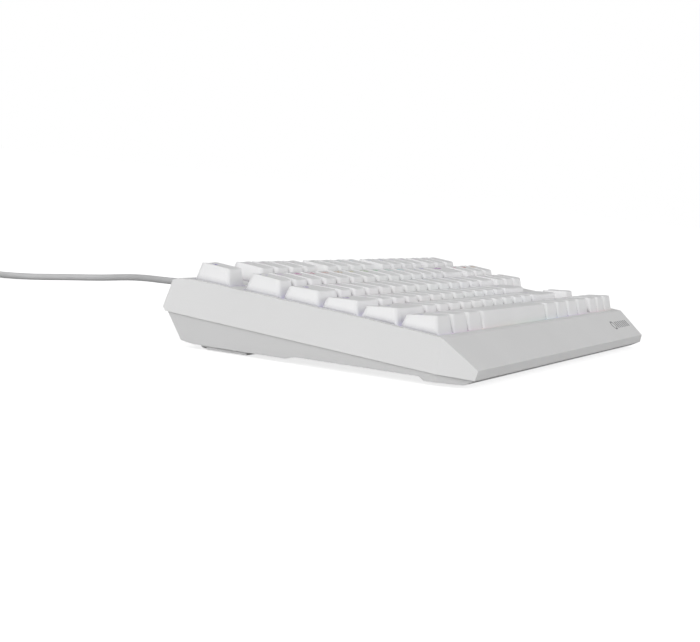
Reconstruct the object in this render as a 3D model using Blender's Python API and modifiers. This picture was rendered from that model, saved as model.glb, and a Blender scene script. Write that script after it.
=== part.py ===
"""A tenkeyless mechanical keyboard with 87 keys, a faceted two-part case and a fixed USB lead.

Metres, +Z up. The keyboard rests on the plane z = 0, its user on the -Y side. X = 0 is its
middle, and Y = 0 is halfway between its front lip and its rear wall. Most pieces are placed in
the deck frame, an empty whose X-Y plane holds the lower edges of the keycaps; it is tilted
about X and its Y axis runs from the front row of keys to the rear one.
"""

import math

import bmesh
import bpy
from mathutils import Matrix, Vector

# ---- Driving dimensions: keys --------------------------------------------------------------
PITCH = 0.01905
BLOCK_UNITS = 18.25
NAV_START = 15.25
F_ROW_STEP = 0.0254
ROW_START = -0.0016
CAP_SIZE = 0.0181
CAP_WALL = 0.0013
CAP_TAPER_X = 0.0009
CAP_TOP_REAR = 0.0076
CAP_TOP_FRONT = -0.0066
CAP_CORNER = 0.0021
CAP_CEILING = 0.0046
KEY_TRAVEL = 0.0038

# ---- Driving dimensions: case, in the deck frame -------------------------------------------
TILT = math.radians(4.6)
DECK_HEIGHT = 0.0220
RIM_HALF_WIDTH = 0.1799
WAIST_HALF_WIDTH = 0.1824
RIM_LEVEL = 0.0010
WAIST_LEVEL = -0.0138
SEAM_LEVEL = -0.0155
BAND_LEVEL = -0.0110
REAR_CHAMFER = 0.0017
SEAM_STEP = 0.0010
CORNER_START = -0.0160
LIP_HALF_WIDTH = 0.1739
FRONT_LIP = -0.0320
RIM_FRONT = -0.0150
REAR_WALL = 0.1180
SHELL = 0.0024
GAP = 0.0003

# ---- Driving dimensions: inside ------------------------------------------------------------
PLATE_TOP = -0.0055
PLATE_THICKNESS = 0.0015
BOARD_TOP = -0.0105
BOARD_THICKNESS = 0.0016
HOUSING_BASE = 0.0138
HOUSING_TOP = -0.0003
STEM_WIDTH = 0.0041
STEM_BOTTOM = -0.0045

# ---- Driving dimensions: underside, heights above the table --------------------------------
REAR_PLINTH_HEIGHT = 0.0020
FRONT_PLINTH_HEIGHT = 0.0013
BELLY_HEIGHT = 0.0031
INNER_FLOOR_HEIGHT = 0.0056
SCREW_SEAT_HEIGHT = 0.0040
PAD_THICKNESS = 0.0021
FOOT_LENGTH = 0.0254
FOOT_WIDTH = 0.036
FOOT_THICKNESS = 0.0048
FOOT_CENTRE_X = 0.1545
FOOT_PIVOT_DECK_Y = 0.0982
PIVOT_RADIUS = 0.0029
PIVOT_PIN_RADIUS = 0.0013

# ---- Driving dimensions: lead --------------------------------------------------------------
CORD_RADIUS = 0.0019
EXIT_HEIGHT = 0.0194
COIL_CENTRE = (0.003, 0.3226)
COIL_MID_RADIUS = 0.0234
COIL_COLUMNS = 5
COIL_PITCH = 0.0039
COIL_HEIGHT = 0.0078
ENTRY_ANGLE = 0.05

DECK_ROTATION = Matrix.Rotation(TILT, 4, "X")


def deck_shift():
    """Where the deck frame's origin lies, so that the case is centred on Y = 0."""
    front = (DECK_ROTATION @ Vector((0, FRONT_LIP, BAND_LEVEL))).y
    rear = (DECK_ROTATION @ Vector((0, REAR_WALL, WAIST_LEVEL))).y
    return Vector((0, -(front + rear) / 2, DECK_HEIGHT * math.cos(TILT)))


DECK = Matrix.Translation(deck_shift()) @ DECK_ROTATION


def deck_level(deck_y, height):
    """The deck-frame Z of a point at this deck Y and this height above the table."""
    return (height - DECK.translation.z - deck_y * math.sin(TILT)) / math.cos(TILT)


def unit_x(units):
    """Deck X of a place counted in key units from the left edge of the key block."""
    return (units - BLOCK_UNITS / 2) * PITCH


# ---- Keys: (name, first unit, width in units) by row ---------------------------------------
# A row is (deck Y of its middle, cap height at its rear edge, cap height at its front edge).
BOTTOM_ROW = (ROW_START, 0.0062, 0.0086)
ZXCV_ROW = (ROW_START + PITCH, 0.0060, 0.0080)
ASDF_ROW = (ROW_START + 2 * PITCH, 0.0059, 0.0074)
QWERTY_ROW = (ROW_START + 3 * PITCH, 0.0072, 0.0078)
NUMBER_ROW = (ROW_START + 4 * PITCH, 0.0091, 0.0087)
FUNCTION_ROW = (NUMBER_ROW[0] + F_ROW_STEP, 0.0090, 0.0087)


def run(first, count):
    """The (first unit, width) of single-unit keys side by side."""
    return [(first + step, 1) for step in range(count)]


KEYS = {
    "key_escape": (FUNCTION_ROW, [(0, 1)]),
    "key_space": (BOTTOM_ROW, [(3.75, 6.25)]),
    "key_enter": (ASDF_ROW, [(12.75, 2.25)]),
    "key_backspace": (NUMBER_ROW, [(13, 2)]),
    "key_left_shift": (ZXCV_ROW, [(0, 2.25)]),
    "key_tab": (QWERTY_ROW, [(0, 1.5)]),
    "key_caps_lock": (ASDF_ROW, [(0, 1.75)]),
    "key_left_control": (BOTTOM_ROW, [(0, 1.25)]),
    "key_arrow_up": (ZXCV_ROW, [(16.25, 1)]),
    "key_arrow_left": (BOTTOM_ROW, [(15.25, 1)]),
    "key_arrow_down": (BOTTOM_ROW, [(16.25, 1)]),
    "key_arrow_right": (BOTTOM_ROW, [(17.25, 1)]),
    "key_left_system": (BOTTOM_ROW, [(1.25, 1.25)]),
    "key_left_alt": (BOTTOM_ROW, [(2.5, 1.25)]),
    "key_right_alt": (BOTTOM_ROW, [(10, 1.25)]),
    "key_function": (BOTTOM_ROW, [(11.25, 1.25)]),
    "key_menu": (BOTTOM_ROW, [(12.5, 1.25)]),
    "key_right_control": (BOTTOM_ROW, [(13.75, 1.25)]),
    "key_right_shift": (ZXCV_ROW, [(12.25, 2.75)]),
    "key_backslash": (QWERTY_ROW, [(13.5, 1.5)]),
    "keys_f1_to_f4": (FUNCTION_ROW, run(2, 4)),
    "keys_f5_to_f8": (FUNCTION_ROW, run(6.5, 4)),
    "keys_f9_to_f12": (FUNCTION_ROW, run(11, 4)),
    "keys_print_to_pause": (FUNCTION_ROW, run(NAV_START, 3)),
    "keys_insert_to_page_up": (NUMBER_ROW, run(NAV_START, 3)),
    "keys_delete_to_page_down": (QWERTY_ROW, run(NAV_START, 3)),
    "keys_grave_to_3": (NUMBER_ROW, run(0, 4)),
    "keys_4_to_6": (NUMBER_ROW, run(4, 3)),
    "keys_7_to_9": (NUMBER_ROW, run(7, 3)),
    "keys_0_to_equals": (NUMBER_ROW, run(10, 3)),
    "keys_q_to_e": (QWERTY_ROW, run(1.5, 3)),
    "keys_r_to_y": (QWERTY_ROW, run(4.5, 3)),
    "keys_u_to_o": (QWERTY_ROW, run(7.5, 3)),
    "keys_p_to_bracket": (QWERTY_ROW, run(10.5, 3)),
    "keys_a_to_f": (ASDF_ROW, run(1.75, 4)),
    "keys_g_to_k": (ASDF_ROW, run(5.75, 4)),
    "keys_l_to_quote": (ASDF_ROW, run(9.75, 3)),
    "keys_z_to_v": (ZXCV_ROW, run(2.25, 4)),
    "keys_b_to_m": (ZXCV_ROW, run(6.25, 3)),
    "keys_comma_to_slash": (ZXCV_ROW, run(9.25, 3)),
}

# The openings of the top case: (first unit, last unit, lower deck Y, upper deck Y).
HALF = PITCH / 2
WINDOWS = [
    (0, 15, BOTTOM_ROW[0] - HALF, NUMBER_ROW[0] + HALF),
    (0, 1, FUNCTION_ROW[0] - HALF, FUNCTION_ROW[0] + HALF),
    (2, 6, FUNCTION_ROW[0] - HALF, FUNCTION_ROW[0] + HALF),
    (6.5, 10.5, FUNCTION_ROW[0] - HALF, FUNCTION_ROW[0] + HALF),
    (11, 15, FUNCTION_ROW[0] - HALF, FUNCTION_ROW[0] + HALF),
    (NAV_START, BLOCK_UNITS, FUNCTION_ROW[0] - HALF, FUNCTION_ROW[0] + HALF),
    (NAV_START, BLOCK_UNITS, QWERTY_ROW[0] - HALF, NUMBER_ROW[0] + HALF),
    (NAV_START, BLOCK_UNITS, BOTTOM_ROW[0] - HALF, BOTTOM_ROW[0] + HALF),
    (NAV_START + 1, NAV_START + 2, BOTTOM_ROW[0] + HALF - 0.001, ZXCV_ROW[0] + HALF),
]

# Case screws, in the deck frame: two under the front slope and two between the function keys.
SCREWS = {
    "case_screw_front_left": (-0.150, -0.0195),
    "case_screw_front_right": (0.150, -0.0195),
    "case_screw_rear_left": (unit_x(6.25), FUNCTION_ROW[0]),
    "case_screw_rear_right": (unit_x(10.75), FUNCTION_ROW[0]),
}
SCREW_RADIUS = 0.0011
SCREW_HEAD_RADIUS = 0.0026
POST_RADIUS = 0.0030


# ---- Scene and helpers ---------------------------------------------------------------------
def clear_scene():
    for obj in list(bpy.data.objects):
        bpy.data.objects.remove(obj, do_unlink=True)


def new_collection(name, hidden=False):
    collection = bpy.data.collections.new(name)
    bpy.context.scene.collection.children.link(collection)
    collection.hide_render = hidden
    return collection


def new_material(name, colour, roughness, metallic=0.0):
    material = bpy.data.materials.new(name)
    material.use_nodes = True
    shader = material.node_tree.nodes["Principled BSDF"]
    shader.inputs["Base Color"].default_value = (*colour, 1.0)
    shader.inputs["Roughness"].default_value = roughness
    shader.inputs["Metallic"].default_value = metallic
    return material


def add_object(name, mesh, collection, parent=None, location=(0, 0, 0)):
    obj = bpy.data.objects.new(name, mesh)
    collection.objects.link(obj)
    obj.parent = parent
    obj.location = location
    return obj


def finish_mesh(bm, name):
    bmesh.ops.recalc_face_normals(bm, faces=bm.faces[:])
    mesh = bpy.data.meshes.new(name)
    bm.to_mesh(mesh)
    bm.free()
    return mesh


def finish_part(obj, material, smooth=False):
    obj.data.materials.clear()
    obj.data.materials.append(material)
    if smooth:
        obj.data.shade_smooth()
        obj.data.set_sharp_from_angle(angle=math.radians(35))


def add_box(bm, low, high):
    """A box between two corners, joined into bm. Returns its eight vertices."""
    centre = (Vector(low) + Vector(high)) / 2
    size = Vector(high) - Vector(low)
    place = Matrix.Translation(centre) @ Matrix.Diagonal((*size, 1.0))
    return bmesh.ops.create_cube(bm, size=1.0, matrix=place)["verts"]


def add_cylinder(bm, radius, start, end, sides=16, end_radius=None):
    """A cylinder or cone from start to end, joined into bm."""
    start, end = Vector(start), Vector(end)
    turn = (end - start).to_track_quat("Z", "Y").to_matrix().to_4x4()
    bmesh.ops.create_cone(
        bm,
        cap_ends=True,
        segments=sides,
        radius1=radius,
        radius2=radius if end_radius is None else end_radius,
        depth=(end - start).length,
        matrix=Matrix.Translation((start + end) / 2) @ turn,
    )


def outline_mesh(name, points, low, high):
    """A flat outline of (y, z) points, made solid between two X values."""
    curve = bpy.data.curves.new(name, "CURVE")
    curve.dimensions = "2D"
    curve.fill_mode = "BOTH"
    curve.extrude = (high - low) / 2
    spline = curve.splines.new("POLY")
    spline.points.add(len(points) - 1)
    for point, (y, z) in zip(spline.points, points):
        point.co = (y, z, 0, 1)
    spline.use_cyclic_u = True
    helper = bpy.data.objects.new(name, curve)
    bpy.context.scene.collection.objects.link(helper)
    graph = bpy.context.evaluated_depsgraph_get()
    mesh = bpy.data.meshes.new_from_object(helper.evaluated_get(graph))
    bpy.data.objects.remove(helper, do_unlink=True)
    # The curve lies in its own X-Y plane: turn that onto Y-Z, with the extrusion along X.
    turn = Matrix(((0, 0, 1, (low + high) / 2), (1, 0, 0, 0), (0, 1, 0, 0), (0, 0, 0, 1)))
    bm = bmesh.new()
    bm.from_mesh(mesh)
    bmesh.ops.transform(bm, matrix=turn, verts=bm.verts[:])
    bmesh.ops.remove_doubles(bm, verts=bm.verts[:], dist=1e-6)
    bpy.data.meshes.remove(mesh)
    return finish_mesh(bm, name)


def facet_mesh(name, planes, size=0.8):
    """A convex solid: a cube cut down by planes, each a point and an outward direction."""
    bm = bmesh.new()
    bmesh.ops.create_cube(bm, size=size)
    for point, outward in planes:
        everything = bm.verts[:] + bm.edges[:] + bm.faces[:]
        bmesh.ops.bisect_plane(bm, geom=everything, plane_co=point, plane_no=outward, clear_outer=True)
        rim = [edge for edge in bm.edges if edge.is_boundary]
        bmesh.ops.holes_fill(bm, edges=rim)
        # Planes that meet in one corner leave points a hair apart there.
        bmesh.ops.remove_doubles(bm, verts=bm.verts[:], dist=0.00002)
    return finish_mesh(bm, name)


def combine(obj, other, operation, overlapping=False):
    """A Boolean modifier; overlapping says that the other mesh holds solids that overlap."""
    modifier = obj.modifiers.new(operation.title() + "_" + other.name, "BOOLEAN")
    modifier.operation = operation
    modifier.object = other
    modifier.use_self = overlapping


# ---- Case ----------------------------------------------------------------------------------
def profile_planes(points):
    """Planes along X through neighbouring (y, z) points, for an outline walked front to rear."""
    planes = []
    for (y0, z0), (y1, z1) in zip(points, points[1:]):
        outward = Vector((0, z0 - z1, y1 - y0)).normalized()
        planes.append((Vector((0, y0, z0)), outward))
    return planes


def plane_through(a, b, c, outward_hint):
    """The plane through three points, facing the way of the hint."""
    a, b, c = Vector(a), Vector(b), Vector(c)
    normal = (b - a).cross(c - a).normalized()
    if normal.dot(Vector(outward_hint)) < 0:
        normal.negate()
    return a, normal


def both_sides(plane):
    """A plane and its mirror image in X = 0."""
    point, outward = plane
    flip = Vector((-1, 1, 1))
    return [plane, (point * flip, outward * flip)]


def inset(planes, depth):
    return [(point - outward * depth, outward) for point, outward in planes]


def skirt_planes(outline, level, drop, inward):
    """Planes through a convex plan outline of (x, y) points at one level, leaning inwards below it."""
    planes = []
    for (x0, y0), (x1, y1) in zip(outline, outline[1:]):
        outward = Vector((y1 - y0, x0 - x1, 0)).normalized()
        slope = (outward * drop - Vector((0, 0, inward))).normalized()
        planes += both_sides((Vector((x0, y0, level)), slope))
    return planes


def upper_planes():
    """The outside of the case above its seam: rim, sides, front slope, front band and rear wall."""
    rim_edge = RIM_LEVEL - 0.0007
    profile = [
        (FRONT_LIP + 0.0004, SEAM_LEVEL),
        (FRONT_LIP, BAND_LEVEL),
        (RIM_FRONT, rim_edge),
        (0.020, RIM_LEVEL),
        (0.106, RIM_LEVEL),
        (0.1135, rim_edge),
        (0.1164, rim_edge - 0.0015),
        (REAR_WALL, WAIST_LEVEL),
        (REAR_WALL - REAR_CHAMFER, SEAM_LEVEL),
    ]
    rim_corner = (-RIM_HALF_WIDTH, RIM_FRONT, rim_edge)
    waist_corner = (-WAIST_HALF_WIDTH, CORNER_START, SEAM_LEVEL)
    waist_rear = (-WAIST_HALF_WIDTH, REAR_WALL, SEAM_LEVEL)
    lip_corner = (-LIP_HALF_WIDTH, FRONT_LIP + 0.0001, BAND_LEVEL - 0.001)
    side = plane_through(rim_corner, waist_corner, waist_rear, (-1, 0, 0))
    corner = plane_through(rim_corner, waist_corner, lip_corner, (-1, -1, 0))
    return profile_planes(profile) + both_sides(side) + both_sides(corner)


def lower_planes():
    """The outside of the case below its seam, a step inside it, down to the plinths' faces."""
    seam = SEAM_LEVEL - GAP
    outline = [
        (-WAIST_HALF_WIDTH + SEAM_STEP, REAR_WALL),
        (-WAIST_HALF_WIDTH + SEAM_STEP, CORNER_START + SEAM_STEP * 0.6),
        (-LIP_HALF_WIDTH + SEAM_STEP * 0.8, FRONT_LIP + SEAM_STEP),
    ]
    profile = [
        (FRONT_LIP + SEAM_STEP, seam),
        (-0.0268, deck_level(-0.0268, FRONT_PLINTH_HEIGHT)),
        (0.1020, deck_level(0.1020, REAR_PLINTH_HEIGHT)),
        (0.1058, deck_level(0.1058, REAR_PLINTH_HEIGHT) + 0.0006),
        (0.1082, -0.0275),
        (REAR_WALL - REAR_CHAMFER - SEAM_STEP, seam),
    ]
    # This outline is walked along the underside, so its planes face the other way.
    underside = [(point, -outward) for point, outward in profile_planes(profile)]
    return underside + skirt_planes(outline, seam, 0.012, 0.0036)


def window_cutter(cutters, deck):
    bm = bmesh.new()
    for first, last, low, high in WINDOWS:
        add_box(bm, (unit_x(first) - GAP, low - GAP, -0.02), (unit_x(last) + GAP, high + GAP, 0.01))
    return add_object("window_cutter", finish_mesh(bm, "window_cutter"), cutters, deck)


def post_mesh(name, radius, low, high, sides=12):
    """Upright cylinders at the case screws; low and high are functions of deck Y."""
    bm = bmesh.new()
    for x, y in SCREWS.values():
        add_cylinder(bm, radius, (x, y, low(y)), (x, y, high(y)), sides)
    return finish_mesh(bm, name)


def inner_floor(y):
    """Deck Z of the bottom case's inner floor."""
    return deck_level(y, INNER_FLOOR_HEIGHT)


def make_top_case(parts, cutters, deck, material):
    planes = upper_planes()
    seam_plane = (Vector((0, 0, SEAM_LEVEL)), Vector((0, 0, -1)))
    case = add_object("top_case", facet_mesh("top_case", planes + [seam_plane]), parts, deck)
    below = (Vector((0, 0, SEAM_LEVEL - 0.01)), Vector((0, 0, -1)))
    hollow = facet_mesh("top_hollow", inset(planes, SHELL) + [below])
    combine(case, add_object("top_hollow", hollow, cutters, deck), "DIFFERENCE")
    posts = post_mesh("top_posts", POST_RADIUS, lambda y: inner_floor(y) + GAP, post_ceiling)
    combine(case, add_object("top_posts", posts, cutters, deck), "UNION")
    pilots = post_mesh("pilot_holes", SCREW_RADIUS + GAP, lambda y: -0.03, lambda y: -0.0125, 10)
    combine(case, add_object("pilot_holes", pilots, cutters, deck), "DIFFERENCE")
    combine(case, window_cutter(cutters, deck), "DIFFERENCE", overlapping=True)
    bm = bmesh.new()
    add_cylinder(bm, 0.0042, (0, REAR_OUT - 0.009, EXIT_HEIGHT), (0, REAR_OUT + 0.01, EXIT_HEIGHT))
    exit_hole = add_object("exit_hole", finish_mesh(bm, "exit_hole"), cutters)
    combine(case, exit_hole, "DIFFERENCE")
    finish_part(case, material)
    return case


def post_ceiling(y):
    """How high a screw post reaches: into the front slope, or into the rim's thickness."""
    return -0.0050 if y < RIM_FRONT else -0.0010


# World Y of the rear wall where the lead leaves it.
REAR_OUT = (DECK @ Vector((0, 0.1176, -0.0112))).y


def belly_cutter(cutters, deck):
    """The recess across the underside, between the front and the rear plinth."""
    front, rear = -0.0103, 0.0560
    points = [
        (front - 0.002, -0.04),
        (front, deck_level(front, FRONT_PLINTH_HEIGHT) + 0.0002),
        (front + 0.0025, deck_level(front + 0.0025, BELLY_HEIGHT)),
        (rear - 0.0045, deck_level(rear - 0.0045, BELLY_HEIGHT)),
        (rear, deck_level(rear, REAR_PLINTH_HEIGHT) - 0.0002),
        (rear + 0.002, -0.04),
    ]
    return add_object("belly_cutter", outline_mesh("belly_cutter", points, -0.2, 0.2), cutters, deck)


def bottom_hollow(cutters, deck):
    """The inside of the bottom tray: above its floor, inside its walls."""
    walls = [plane for plane in inset(lower_planes(), SHELL) if plane[1].z > -0.9]
    floor = profile_planes([(0.1, inner_floor(0.1)), (0, inner_floor(0))])
    lid = (Vector((0, 0, SEAM_LEVEL + 0.01)), Vector((0, 0, 1)))
    mesh = facet_mesh("bottom_hollow", walls + floor + [lid])
    return add_object("bottom_hollow", mesh, cutters, deck)


# The tilt feet, in world coordinates.
PIVOT_Y = (DECK @ Vector((0, FOOT_PIVOT_DECK_Y, -0.0265))).y
FOOT_BOTTOM = 0.0003
PIVOT_Z = FOOT_BOTTOM + PIVOT_RADIUS
POCKET_FRONT = PIVOT_Y + PIVOT_RADIUS - FOOT_LENGTH - 0.0038
POCKET_REAR = PIVOT_Y + PIVOT_RADIUS + 0.0007
POCKET_TOP = PIVOT_Z + PIVOT_RADIUS + 0.0004
PIN_REACH = 0.0016


def foot_span(side):
    """The X range of the foot on this side, -1 left or 1 right."""
    return side * FOOT_CENTRE_X - FOOT_WIDTH / 2, side * FOOT_CENTRE_X + FOOT_WIDTH / 2


def pocket_mesh(name, side_margin, depth_margin, top, bottom):
    bm = bmesh.new()
    for side in (-1, 1):
        low, high = foot_span(side)
        add_box(
            bm,
            (low - side_margin, POCKET_FRONT - depth_margin, bottom),
            (high + side_margin, POCKET_REAR + depth_margin, top),
        )
    return finish_mesh(bm, name)


def pivot_hole_mesh():
    bm = bmesh.new()
    for side in (-1, 1):
        low, high = foot_span(side)
        reach = PIN_REACH + 2 * GAP
        add_cylinder(
            bm,
            PIVOT_PIN_RADIUS + GAP,
            (low - reach, PIVOT_Y, PIVOT_Z),
            (high + reach, PIVOT_Y, PIVOT_Z),
            12,
        )
    return finish_mesh(bm, "pivot_holes")


STANDOFF_ROWS = (BOTTOM_ROW[0] + HALF, QWERTY_ROW[0] + HALF)
STANDOFFS = [(unit_x(units), y) for units in (2.0, 9.0, 15.25) for y in STANDOFF_ROWS]


def standoff_mesh():
    """Posts that the circuit board rests on, standing between the switches."""
    bm = bmesh.new()
    for x, y in STANDOFFS:
        low = inner_floor(y) - 0.001
        add_cylinder(bm, 0.0022, (x, y, low), (x, y, BOARD_TOP - BOARD_THICKNESS - GAP), 8)
    return finish_mesh(bm, "standoffs")


PADS = {
    "pad_front_left": (-0.120, -0.060),
    "pad_front_right": (0.120, -0.060),
    "pad_rear_left": (-0.105, 0.040),
    "pad_rear_right": (0.105, 0.040),
}
PAD_SIZE = (0.030, 0.010)


def pad_mesh(name, centre, margin, low, high):
    bm = bmesh.new()
    half_x, half_y = PAD_SIZE[0] / 2 + margin, PAD_SIZE[1] / 2 + margin
    x, y = centre
    verts = add_box(bm, (x - half_x, y - half_y, low), (x + half_x, y + half_y, high))
    upright = [edge for edge in bm.edges if abs(edge.verts[0].co.z - edge.verts[1].co.z) > 1e-4]
    bmesh.ops.bevel(bm, geom=upright, offset=PAD_SIZE[1] * 0.4, segments=3, affect="EDGES")
    return finish_mesh(bm, name)


def make_bottom_case(parts, cutters, deck, material):
    seam_plane = (Vector((0, 0, SEAM_LEVEL - GAP)), Vector((0, 0, 1)))
    mesh = facet_mesh("bottom_case", lower_planes() + [seam_plane])
    case = add_object("bottom_case", mesh, parts, deck)
    combine(case, belly_cutter(cutters, deck), "DIFFERENCE")
    combine(case, bottom_hollow(cutters, deck), "DIFFERENCE")
    block = pocket_mesh("pocket_walls", 0.0034, 0.0018, POCKET_TOP + 0.0018, 0.0030)
    combine(case, add_object("pocket_walls", block, cutters), "UNION")
    combine(case, add_object("standoffs", standoff_mesh(), cutters, deck), "UNION")
    pocket = pocket_mesh("pockets", GAP + 0.0001, 0, POCKET_TOP, -0.005)
    combine(case, add_object("pockets", pocket, cutters), "DIFFERENCE")
    combine(case, add_object("pivot_holes", pivot_hole_mesh(), cutters), "DIFFERENCE")
    bm = bmesh.new()
    add_cylinder(bm, 0.0055, (0, REAR_OUT - 0.009, EXIT_HEIGHT), (0, REAR_OUT + 0.01, EXIT_HEIGHT))
    combine(case, add_object("exit_relief", finish_mesh(bm, "exit_relief"), cutters), "DIFFERENCE")
    for name, centre in PADS.items():
        recess = pad_mesh(name + "_recess", centre, GAP, -0.004, PAD_THICKNESS + GAP)
        combine(case, add_object(name + "_recess", recess, cutters), "DIFFERENCE")
    shanks = post_mesh("screw_holes", SCREW_RADIUS + 0.0004, lambda y: -0.035, lambda y: -0.0125, 10)
    combine(case, add_object("screw_holes", shanks, cutters, deck), "DIFFERENCE")
    heads = post_mesh("head_recesses", SCREW_HEAD_RADIUS + 0.0004, lambda y: -0.035, head_top)
    combine(case, add_object("head_recesses", heads, cutters, deck), "DIFFERENCE")
    finish_part(case, material)
    return case


def head_top(y):
    """Deck Z of the seat of a case screw's head."""
    return deck_level(y, SCREW_SEAT_HEIGHT)


def make_pads(parts, material):
    for name, centre in PADS.items():
        mesh = pad_mesh(name, (0, 0), 0, 0, PAD_THICKNESS)
        finish_part(add_object(name, mesh, parts, None, (*centre, 0)), material)


def make_screws(parts, deck, material):
    for name, (x, y) in SCREWS.items():
        bm = bmesh.new()
        seat = head_top(y) - GAP
        add_cylinder(bm, SCREW_RADIUS, (0, 0, -0.0008), (0, 0, -0.0135 - seat), 10)
        head = bpy.data.meshes.new(name)
        bm.to_mesh(head)
        bm.clear()
        add_cylinder(bm, SCREW_HEAD_RADIUS, (0, 0, -0.0015), (0, 0, 0), 16)
        cap = add_object(name, finish_mesh(bm, name + "_head"), parts, deck, (x, y, seat))
        shank = add_object(name + "_shank", head, bpy.data.collections["cutters"], deck, (x, y, seat))
        combine(cap, shank, "UNION")
        finish_part(cap, material, smooth=True)


def foot_outline():
    """Side view of a folded foot about its pivot: a round rear end and a flat blade forwards."""
    points = []
    steps = 10
    for step in range(steps + 1):
        angle = math.radians(-90 + 180 * step / steps)
        points.append((PIVOT_RADIUS * math.cos(angle), PIVOT_RADIUS * math.sin(angle)))
    top = FOOT_THICKNESS - PIVOT_RADIUS
    tip = PIVOT_RADIUS - FOOT_LENGTH
    points += [(-0.004, top), (tip + 0.0012, top), (tip, top - 0.0012), (tip, -PIVOT_RADIUS)]
    return points


def make_feet(parts, cutters, material):
    for side, name in ((-1, "foot_left"), (1, "foot_right")):
        half = FOOT_WIDTH / 2
        mesh = outline_mesh(name, foot_outline(), -half, half)
        place = (side * FOOT_CENTRE_X, PIVOT_Y, PIVOT_Z)
        foot = add_object(name, mesh, parts, None, place)
        bm = bmesh.new()
        add_cylinder(bm, PIVOT_PIN_RADIUS, (-half - PIN_REACH, 0, 0), (half + PIN_REACH, 0, 0), 12)
        pins = add_object(name + "_pins", finish_mesh(bm, name + "_pins"), cutters, None, place)
        combine(foot, pins, "UNION")
        finish_part(foot, material, smooth=True)


# ---- Keys ----------------------------------------------------------------------------------
def all_keys():
    """Every key as (row, middle in units, width in units)."""
    for row, spans in KEYS.values():
        for first, width in spans:
            yield row, first + width / 2, width


def rounded_corners(half_x, half_y, radius):
    """A rectangle about (0, 0) with rounded corners, as twelve (x, y) points."""
    points = []
    for quarter in range(4):
        for step in range(3):
            angle = math.pi / 2 * (quarter + step / 2)
            side_x = math.copysign(half_x - radius, math.cos(math.pi / 4 + math.pi / 2 * quarter))
            side_y = math.copysign(half_y - radius, math.sin(math.pi / 4 + math.pi / 2 * quarter))
            points.append((side_x + radius * math.cos(angle), side_y + radius * math.sin(angle)))
    return points


def add_ring(bm, points, x, y, level):
    """Vertices along an outline about (x, y); level gives their height for a Y on the outline."""
    return [bm.verts.new((x + px, y + py, level(py))) for px, py in points]


def add_keycap(bm, x, y, width, row):
    """A hollow tapered cap with its stem, joined into bm; x and y are its middle."""
    _, rear_top, front_top = row
    half_x = width / 2
    half_y = CAP_SIZE / 2
    top_middle = (CAP_TOP_REAR + CAP_TOP_FRONT) / 2
    top_half = (CAP_TOP_REAR - CAP_TOP_FRONT) / 2
    slope = (rear_top - front_top) / (2 * top_half)
    stem = STEM_WIDTH / 2
    rings = [
        (0, (half_x, half_y, CAP_CORNER), lambda py: 0.0),
        (
            top_middle,
            (half_x - CAP_TAPER_X, top_half, CAP_CORNER),
            lambda py: (rear_top + front_top) / 2 + slope * py,
        ),
        (0, (half_x - CAP_WALL, half_y - CAP_WALL, CAP_CORNER - 0.0008), lambda py: 0.0),
        (
            top_middle / 2,
            (half_x - CAP_WALL - CAP_TAPER_X * 0.75, 0.0058, CAP_CORNER - 0.0008),
            lambda py: CAP_CEILING,
        ),
        (0, (stem, stem, 0.0005), lambda py: CAP_CEILING),
        (0, (stem, stem, 0.0005), lambda py: STEM_BOTTOM),
    ]
    loops = [add_ring(bm, rounded_corners(*size), x, y + shift, level) for shift, size, level in rings]
    outer, top, inner, ceiling, root, end = loops
    bm.faces.new(top)
    bm.faces.new(end)
    for low, high in ((outer, top), (outer, inner), (inner, ceiling), (ceiling, root), (root, end)):
        count = len(low)
        for index in range(count):
            after = (index + 1) % count
            bm.faces.new((low[index], low[after], high[after], high[index]))


def make_keys(parts, cutters, deck, material):
    for name, (row, spans) in KEYS.items():
        middle = unit_x((spans[0][0] + spans[-1][0] + spans[-1][1]) / 2)
        bm = bmesh.new()
        for first, units in spans:
            x = unit_x(first + units / 2) - middle
            add_keycap(bm, x, 0, units * PITCH - PITCH + CAP_SIZE, row)
        keys = add_object(name, finish_mesh(bm, name), parts, deck, (middle, row[0], 0))
        if len(spans) > 1:
            web = web_mesh(name, spans, middle)
            combine(keys, add_object(name + "_webs", web, cutters, deck, (middle, row[0], 0)), "UNION")
        finish_part(keys, material)


def web_mesh(name, spans, middle):
    """The low bridges that join neighbouring caps of one moving group."""
    bm = bmesh.new()
    for first, _ in spans[1:]:
        x = unit_x(first) - middle
        reach = (PITCH - CAP_SIZE) / 2 + CAP_WALL / 2
        add_box(bm, (x - reach, -0.003, 0.0005), (x + reach, 0.003, 0.0015))
    return finish_mesh(bm, name + "_webs")


# ---- Plate and board -----------------------------------------------------------------------
PLATE_HALF_WIDTH = 0.1762
PLATE_FRONT = -0.0125
PLATE_REAR = 0.1100


def tapered_box(bm, x, y, base, top, low, high):
    """A box that narrows upwards; base and top are (width, depth)."""
    verts = add_box(bm, (x - base[0] / 2, y - base[1] / 2, low), (x + base[0] / 2, y + base[1] / 2, high))
    for vert in verts:
        if vert.co.z > (low + high) / 2:
            vert.co.x = x + math.copysign(top[0] / 2, vert.co.x - x)
            vert.co.y = y + math.copysign(top[1] / 2, vert.co.y - y)


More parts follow.
